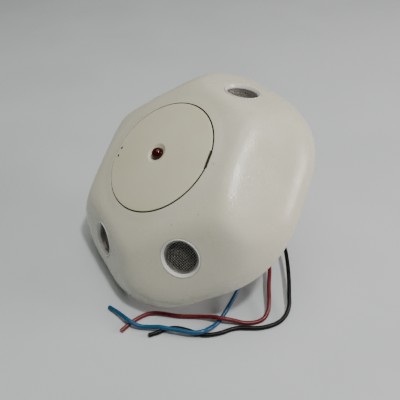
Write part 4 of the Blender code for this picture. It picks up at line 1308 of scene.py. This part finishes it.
class SENSOR_OT_transducers(bpy.types.Operator):
    """Build the four transducers with their bezels and woven screens"""

    bl_idname = "sensor.transducers"
    bl_label = "Transducers"

    def execute(self, context):
        """Build the transducers."""
        settings = context.scene.sensor.transducer
        bezel = self.bezel(settings)
        can = self.can(settings)
        screen = self.screen(settings)
        felt_top = -(settings.can_recess + settings.screen_recess + 0.75 * MM)
        felt_line = tube_line(6.5 * MM, felt_top - 0.4 * MM, felt_top)
        felt = turned_mesh("felt", felt_line, 48, False)
        tones = (settings.bezel_colour, tuple(0.93 * channel for channel in settings.bezel_colour))
        white = moulded_plastic("bezel_plastic", *tones, 0.17, 900.0, 0.00001, 0.15)
        tin = metal("can_aluminium", settings.can_colour, 0.52)
        wire = metal("screen_wire", settings.wire_colour, 0.50)
        dark = moulded_part("screen_felt", (0.006, 0.006, 0.006), 0.9)
        cone = metal("cone_aluminium", context.scene.sensor.electronics.cone_colour, 0.3)
        for number, azimuth in enumerate(TRANSDUCER_AZIMUTHS, 1):
            place = facet_place(settings, azimuth)
            pieces = (
                (f"bezel_ring_{number}", bezel, white, "bezel_plastic", f"bezel_sleeve_{number}"),
                (f"can_shell_{number}", can, tin, "can_aluminium", f"transducer_can_{number}"),
                (f"woven_screen_{number}", screen, wire, "screen_wire", f"transducer_screen_{number}"),
            )
            for name, mesh, material, slot, node in pieces:
                piece = add_piece(name, mesh.copy(), material, place)
                fit_to_body(piece, "sensor", slot, node)
            backing = add_piece(f"screen_felt_{number}", felt.copy(), dark, place)
            fit_to_body(backing, "sensor", "phenolic")
            dress_node(f"transducer_cone_{number}", cone)
            dress_node(f"transducer_base_{number}", phenolic(context))
        return {"FINISHED"}

    def bezel(self, settings):
        """The white sleeve, coned in from its flange to the can."""
        outer = settings.bezel_radius
        bore = settings.can_radius + 0.16 * MM
        profile = (
            (outer, -0.8 * MM),
            (outer, 0.2 * MM),
            (outer - 0.55 * MM, 0.2 * MM),
            (bore, -settings.can_recess + 0.1 * MM),
            (bore, -8 * MM),
            (8.1 * MM, -8 * MM),
            (8.1 * MM, -0.8 * MM),
        )
        radii = (0.1 * MM, 0.22 * MM, 0.2 * MM, 0.12 * MM, 0.1 * MM, 0.2 * MM, 0.1 * MM)
        return turned_mesh("bezel_ring", rounded_profile(profile, radii), 96)

    def can(self, settings):
        """The drawn can, with its front edge rolled over."""
        radius = settings.can_radius
        front = -settings.can_recess
        profile = (
            (radius, front - 10 * MM),
            (radius, front),
            (radius - 0.4 * MM, front),
            (radius - 0.4 * MM, front - 10 * MM),
        )
        radii = (0.1 * MM, 0.18 * MM, 0.16 * MM, 0.1 * MM)
        return turned_mesh("can_shell", rounded_profile(profile, radii), 80)

    def screen(self, settings):
        """Two crossing sets of wavy wires inside a thin ring."""
        radius = settings.can_radius - 0.55 * MM
        depth = -settings.can_recess - settings.screen_recess
        verts = []
        faces = []
        count = int(radius / settings.wire_pitch)
        for crossing in (0, 1):
            for row in range(-count, count + 1):
                offset = row * settings.wire_pitch
                half = math.sqrt(max(radius**2 - offset**2, 0.0))
                if half < settings.wire_pitch:
                    continue
                add_wavy_wire(verts, faces, settings, offset, half, depth, crossing, row)
        turn = np.array(Matrix.Rotation(math.radians(18), 3, "Z"))
        verts = [tuple(turn @ np.array(vert)) for vert in verts]
        wires = mesh_from("woven_screen", verts, faces, 60.0)
        ring_line = (
            (radius, depth - 0.3 * MM),
            (radius + 0.1 * MM, depth - 0.3 * MM),
            (radius + 0.1 * MM, depth + 0.12 * MM),
            (radius - 0.12 * MM, depth + 0.12 * MM),
        )
        ring = turned_mesh("screen_ring", ring_line, 64)
        return joined_mesh("woven_screen", [(wires, Matrix()), (ring, Matrix())])


def add_wavy_wire(verts, faces, settings, offset, half, depth, crossing, row):
    """One wire of the screen, over and under the wires that cross it."""
    pitch = settings.wire_pitch
    wire = settings.wire_radius
    steps = max(4, int(2 * half / pitch * 4))
    sides = 6
    base = len(verts)
    for step in range(steps + 1):
        along = -half + 2 * half * step / steps
        phase = math.pi * along / pitch + math.pi * (row + crossing)
        lift = depth + math.cos(phase) * wire * 1.05 - wire
        for side in range(sides):
            angle = side * 2 * math.pi / sides
            across = offset + wire * math.cos(angle)
            height = lift + wire * math.sin(angle)
            verts.append((along, across, height) if crossing else (across, along, height))
    for step in range(steps):
        for side in range(sides):
            after = (side + 1) % sides
            first = base + step * sides
            faces.append([first + side, first + after, first + sides + after, first + sides + side])
    faces.append(list(range(base, base + sides)))
    faces.append(list(range(len(verts) - sides, len(verts))))


class SENSOR_OT_indicator(bpy.types.Operator):
    """Build the red indicator lamp"""

    bl_idname = "sensor.indicator"
    bl_label = "Indicator"

    def execute(self, context):
        """Build the lamp."""
        settings = context.scene.sensor.indicator
        radius = settings.lamp_radius
        top = settings.dome_height
        base = 22.6 * MM
        profile = [
            (0.0, base),
            (radius, base),
            (radius, base + 0.9 * MM),
            (radius - 0.3 * MM, base + 1.0 * MM),
        ]
        for step in range(17):
            angle = step * math.pi / 32
            reach = radius * math.cos(angle) if step < 16 else 0.0
            profile.append((reach, top + radius * math.sin(angle)))
        mesh = turned_mesh("indicator_lamp", profile, 64, False)
        lamp = add_piece("indicator_lamp", mesh, lamp_resin(settings.resin_colour))
        fit_to_body(lamp, "sensor", "led_red", "indicator_led")
        dress_node("led_spacer", phenolic(context))
        return {"FINISHED"}


class SENSOR_OT_electronics(bpy.types.Operator):
    """Build the trimmers and finish the circuit board and what it carries"""

    bl_idname = "sensor.electronics"
    bl_label = "Electronics"

    def execute(self, context):
        """Build the electronics."""
        settings = context.scene.sensor.electronics
        rotor_white = moulded_part("trimmer_white", settings.rotor_colour, 0.42)
        body_blue = moulded_part("trimmer_blue", settings.trimmer_colour, 0.38)
        for name, side in (("range", 1), ("delay", -1)):
            self.add_rotor(name, side, rotor_white)
            self.add_body(name, side, body_blue)
        black = moulded_part("chip_black", settings.chip_colour, 0.5)
        for node in ("signal_chip", "amplifier_chip", "driver_chip", "voltage_regulator"):
            dress_node(node, black)
        sleeve = moulded_part("capacitor_sleeve", settings.sleeve_colour, 0.3)
        for node in ("filter_capacitor", "output_capacitor"):
            dress_node(node, sleeve)
        dress_node("lead_header", rotor_white)
        dress_node("circuit_board", solder_mask())
        zinc = zinc_steel(context)
        dress_node("timing_crystal", zinc)
        for number in (1, 2, 3):
            dress_node(f"board_screw_{number}", zinc)
        return {"FINISHED"}

    def add_rotor(self, name, side, material):
        """The slotted rotor, turned with a screwdriver through the recess floor."""
        profile = rounded_profile(
            ((0, 0), (2.8 * MM, 0), (2.8 * MM, 1.38 * MM), (0, 1.38 * MM)),
            (0, 0.1 * MM, 0.3 * MM, 0),
        )
        place = Matrix.Translation((0, side * TRIMMER_DISTANCE, TRIMMER_FACE))
        mesh = turned_mesh(f"{name}_rotor", profile, 48, False)
        rotor = add_piece(f"{name}_rotor", mesh, material, place)
        blades = (
            ((3.9 * MM, 0.85 * MM, 1.5 * MM), (0.0, 0.0, 1.38 * MM)),
            ((1.0 * MM, 1.7 * MM, 1.1 * MM), (2.3 * MM, 0.0, 1.5 * MM)),
        )
        cutters = []
        for size, spot in blades:
            cutters.append((box_mesh("blade", size, 0.08 * MM), place @ Matrix.Translation(spot)))
        carve(rotor, cutters)
        fit_to_body(rotor, f"{name}_rotor", "trimmer_white", f"{name}_trimmer_rotor")

    def add_body(self, name, side, material):
        """The trimmer's square body with a raised collar."""
        block = box_mesh("block", (6.96 * MM, 6.96 * MM, 3.9 * MM), 0.35 * MM, 3)
        collar_line = rounded_profile(
            ((2.0 * MM, 0), (3.3 * MM, 0), (3.3 * MM, 0.6 * MM), (2.0 * MM, 0.6 * MM)),
            (0, 0, 0.15 * MM, 0.15 * MM),
        )
        collar = turned_mesh("collar", collar_line, 40)
        middle = 20.32 * MM + 1.95 * MM
        parts = (
            (block, Matrix.Translation((0, 0, middle))),
            (collar, Matrix.Translation((0, 0, 24.08 * MM))),
        )
        mesh = joined_mesh(f"{name}_body", parts)
        place = Matrix.Translation((0, side * TRIMMER_DISTANCE, 0))
        body = add_piece(f"{name}_body", mesh, material, place)
        fit_to_body(body, "sensor", "trimmer_blue", f"{name}_trimmer_body")


class SENSOR_OT_rear(bpy.types.Operator):
    """Build the rear cover with its threaded post, the bush and the screws"""

    bl_idname = "sensor.rear"
    bl_label = "Rear Cover"

    def execute(self, context):
        """Build the rear."""
        housing = context.scene.sensor.housing
        settings = context.scene.sensor.rear
        plastic = rear_plastic(settings)
        plate = add_piece("rear_plate", self.plate(housing, settings), plastic)
        carve(plate, self.plate_cutters(settings))
        fit_to_body(plate, "sensor", "housing_plastic", "rear_cover")
        post = add_piece("threaded_post", self.post(settings), plastic)
        fit_to_body(post, "sensor", "housing_plastic", "rear_cover")
        ribs = add_piece("plate_ribs", self.ribs(), plastic)
        fit_to_body(ribs, "sensor", "housing_plastic")
        self.add_bush(context, settings)
        self.add_screws(zinc_steel(context))
        return {"FINISHED"}

    def plate(self, housing, settings):
        """The flat plate inside the rim."""
        azimuths = even_angles(180)
        outline = outline_points(rim_radius(housing, azimuths, settings.plate_inset), azimuths)
        return prism_mesh("rear_plate", outline, 0.0, settings.plate_thickness, 0.25 * MM)

    def plate_cutters(self, settings):
        """The bore, the screw seats and the two box slots."""
        bore = turned_mesh("bore", tube_line(settings.post_bore, -5 * MM, 8 * MM), 72, False)
        parts = [(bore, Matrix())]
        seat_line = (
            (0, -2 * MM),
            (3.45 * MM, -2 * MM),
            (3.3 * MM, 0.15 * MM),
            (3.3 * MM, 1.6 * MM),
            (1.8 * MM, 1.6 * MM),
            (1.8 * MM, 6 * MM),
            (0, 6 * MM),
        )
        seat = turned_mesh("screw_seat", seat_line, 40, False)
        for azimuth in SCREW_AZIMUTHS:
            parts.append((seat, Matrix.Translation(polar(SCREW_DISTANCE, azimuth))))
        for azimuth in (30, 210):
            turn = about_axis(azimuth)
            parts.append((slot_mesh(41.6 * MM, 44.5 * MM, 2.3 * MM), turn))
        return parts

    def post(self, settings):
        """The hollow post, its thread helical and cut by two flats."""
        around = 144
        end = -POST_LENGTH
        heights = np.concatenate(
            (
                [0.8 * MM, -0.55 * MM, -0.75 * MM, -1.05 * MM, -1.5 * MM, -2.05 * MM],
                np.arange(-2.4 * MM, end + 0.9 * MM, -0.25 * MM),
                [end + 0.7 * MM, end + 0.35 * MM, end + 0.1 * MM, end],
            )
        )
        angles = even_angles(around)
        root = settings.post_radius - settings.thread_depth
        flat_direction = math.radians(60)
        flat = settings.post_flat / np.maximum(np.abs(np.cos(angles - flat_direction)), 1e-3)
        flare = {0: 20.5 * MM, 1: 20.5 * MM, 2: 20.2 * MM, 3: 19.2 * MM, 4: 17.8 * MM, 5: root}
        rings = []
        for index, height in enumerate(heights):
            phase = (height / settings.thread_pitch + angles / (2 * math.pi)) % 1.0
            ridge = np.clip(1.55 - 3.1 * np.abs(phase - 0.5), 0.0, 1.0)
            start_fade = np.clip((-2.6 * MM - height) / (2 * MM), 0, 1)
            end_fade = np.clip((height + POST_LENGTH - 0.5 * MM) / (1.2 * MM), 0, 1)
            radius = root + settings.thread_depth * ridge * (start_fade * end_fade)
            if index in flare:
                radius = np.full(around, flare[index])
            if index > 4:
                radius = np.minimum(radius, flat)
            if height < end + 0.5 * MM:
                bevel = root - 0.35 * MM * (1 - (height + POST_LENGTH) / (0.5 * MM))
                radius = np.minimum(radius, bevel)
            rings.append(self.ring(radius, angles, height))
        bore = settings.post_bore
        for height, radius in ((end, bore + 0.3 * MM), (end + 0.3 * MM, bore), (0.8 * MM, bore)):
            rings.append(self.ring(radius, angles, height))
        verts = np.concatenate(rings)
        faces = []
        for ring in range(len(rings)):
            base = ring * around
            following = ((ring + 1) % len(rings)) * around
            for step in range(around):
                after = (step + 1) % around
                faces.append([base + step, base + after, following + after, following + step])
        return mesh_from("threaded_post", verts, faces, 40.0)

    def ring(self, radius, angles, height):
        """Points round the post at one height."""
        flat_height = np.full(len(angles), height)
        return np.stack((radius * np.cos(angles), radius * np.sin(angles), flat_height), 1)

    def ribs(self):
        """A raised ring on the plate's rear, round the post."""
        inner = 23.5 * MM
        outer = 24.7 * MM
        section = rounded_profile(
            ((inner, 0.1 * MM), (outer, 0.1 * MM), (outer, -0.5 * MM), (inner, -0.5 * MM)),
            (0, 0, 0.2 * MM, 0.2 * MM),
        )
        return turned_mesh("plate_ribs", section, 120)

    def add_bush(self, context, settings):
        """The rubber bush with a collar round each lead."""
        rubber = moulded_part("bush_rubber", tuple(settings.rubber_colour), 0.66, 1400.0)
        low = -POST_LENGTH + 0.4 * MM
        outer = settings.post_bore - 0.3 * MM
        profile = rounded_profile(
            (
                (0, low + 0.5 * MM),
                (outer - 2.2 * MM, low + 0.5 * MM),
                (outer - 1.8 * MM, low),
                (outer - 0.6 * MM, low),
                (outer, low + 0.7 * MM),
                (outer, low + 6 * MM),
                (0, low + 6 * MM),
            ),
            (0, 0.2 * MM, 0.2 * MM, 0.3 * MM, 0.2 * MM, 0.2 * MM, 0),
        )
        mesh = turned_mesh("lead_bush_body", profile, 96, False)
        bush = add_piece("lead_bush_body", mesh, rubber)
        hole_radius = context.scene.sensor.leads.lead_radius + 0.1 * MM
        hole = turned_mesh("lead_hole", tube_line(hole_radius, -40 * MM, -10 * MM), 24, False)
        cutters = []
        for number in (-1, 0, 1):
            exit_point = across_post(number * LEAD_SPACING, LEAD_OFFSET)
            cutters.append((hole, Matrix.Translation(exit_point)))
        carve(bush, cutters)
        fit_to_body(bush, "sensor", "bush_rubber", "lead_bush")

    def add_screws(self, zinc):
        """The four housing screws, with cross recesses."""
        head = rounded_profile(
            (
                (0, -1.28 * MM),
                (1.6 * MM, -1.2 * MM),
                (2.75 * MM, -0.55 * MM),
                (2.78 * MM, 0),
                (1.4 * MM, 0),
                (1.4 * MM, 8 * MM),
                (0, 9 * MM),
            ),
            (0, 0.4 * MM, 0.3 * MM, 0.1 * MM, 0, 0.2 * MM, 0),
        )
        mesh = turned_mesh("housing_screw", head, 40, False)
        for number, azimuth in enumerate(SCREW_AZIMUTHS, 1):
            turn = about_axis(azimuth * 1.7 + 11)
            place = Matrix.Translation(polar(SCREW_DISTANCE, azimuth, 1.3 * MM)) @ turn
            screw = add_piece(f"pan_screw_{number}", mesh.copy(), zinc, place)
            blades = []
            for quarter in (0, 90):
                spin = about_axis(quarter)
                blade = box_mesh("blade", (3.0 * MM, 0.62 * MM, 1.4 * MM), 0.06 * MM)
                blades.append((blade, place @ Matrix.Translation((0, 0, -1.3 * MM)) @ spin))
            carve(screw, blades)
            fit_to_body(screw, "sensor", "zinc_steel", f"housing_screw_{number}")


def slot_mesh(inner, outer, radius):
    """A round-ended slot along +X that goes through the plate."""
    outline = []
    for end, start_angle in ((outer, -90), (inner, 90)):
        for step in range(17):
            angle = math.radians(start_angle + 180 * step / 16)
            outline.append((end + radius * math.cos(angle), radius * math.sin(angle)))
    return prism_mesh("box_slot", outline, -3 * MM, 6 * MM)


class SENSOR_OT_nut(bpy.types.Operator):
    """Build the lobed mounting nut and its washer"""

    bl_idname = "sensor.nut"
    bl_label = "Nut and Washer"

    def execute(self, context):
        """Build the nut."""
        settings = context.scene.sensor.rear
        plastic = rear_plastic(settings)
        angles = even_angles(180)
        radii = settings.nut_radius - 0.8 * MM * (1 + np.cos(10 * angles + math.pi))
        lobes = outline_points(radii, angles)
        mesh = prism_mesh("lobed_nut", lobes, -20 * MM, -14 * MM, 0.4 * MM)
        nut = add_piece("lobed_nut", mesh, plastic)
        carve(nut, [(self.tap(settings), Matrix())])
        fit_to_body(nut, "nut", "housing_plastic", "mounting_nut")
        profile = rounded_profile(
            (
                (17.9 * MM, -13.7 * MM),
                (17.9 * MM, -12.7 * MM),
                (23.0 * MM, -12.7 * MM),
                (23.0 * MM, -13.7 * MM),
            ),
            (0.15 * MM, 0.2 * MM, 0.2 * MM, 0.15 * MM),
        )
        mesh = turned_mesh("flat_washer", profile, 120)
        washer = add_piece("flat_washer", mesh, zinc_steel(context))
        fit_to_body(washer, "washer", "zinc_steel", "clamp_washer")
        return {"FINISHED"}

    def tap(self, settings):
        """The nut's bore with a coned mouth at each face."""
        bore = settings.post_radius + 0.35 * MM
        line = (
            (0, -24 * MM),
            (bore + 4 * MM, -24 * MM),
            (bore, -19.4 * MM),
            (bore, -14.5 * MM),
            (bore + 4 * MM, -10 * MM),
            (0, -10 * MM),
        )
        return turned_mesh("nut_bore", line, 96, False)


class SENSOR_PT_pieces(bpy.types.Panel):
    """Build each group of pieces, and change its sizes and colours"""

    bl_label = "Motion Sensor"
    bl_idname = "SENSOR_PT_pieces"
    bl_space_type = "VIEW_3D"
    bl_region_type = "UI"
    bl_category = "Sensor"

    def draw(self, context):
        """Draw the buttons and the settings."""
        settings = context.scene.sensor
        for operator in OPERATORS:
            self.layout.operator(operator.bl_idname)
        for group in SensorSettings.__annotations__:
            box = self.layout.box()
            box.label(text=group.capitalize())
            chosen = getattr(settings, group)
            for name in type(chosen).__annotations__:
                box.prop(chosen, name)


OPERATORS = (
    SENSOR_OT_stage,
    SENSOR_OT_leads,
    SENSOR_OT_housing,
    SENSOR_OT_cover,
    SENSOR_OT_transducers,
    SENSOR_OT_indicator,
    SENSOR_OT_electronics,
    SENSOR_OT_rear,
    SENSOR_OT_nut,
)
CLASSES = (
    HousingSettings,
    CoverSettings,
    TransducerSettings,
    IndicatorSettings,
    RearSettings,
    LeadSettings,
    ElectronicsSettings,
    StageSettings,
    SensorSettings,
    *OPERATORS,
    SENSOR_PT_pieces,
)


def register():
    """Register the classes and the scene's settings."""
    for cls in CLASSES:
        bpy.utils.register_class(cls)
    bpy.types.Scene.sensor = PointerProperty(type=SensorSettings)


def unregister():
    """Remove the settings and the classes."""
    del bpy.types.Scene.sensor
    for cls in reversed(CLASSES):
        bpy.utils.unregister_class(cls)


def main():
    """Build everything."""
    register()
    for operator in OPERATORS:
        getattr(bpy.ops.sensor, operator.bl_idname.split(".")[1])()


if __name__ == "__main__":
    main()
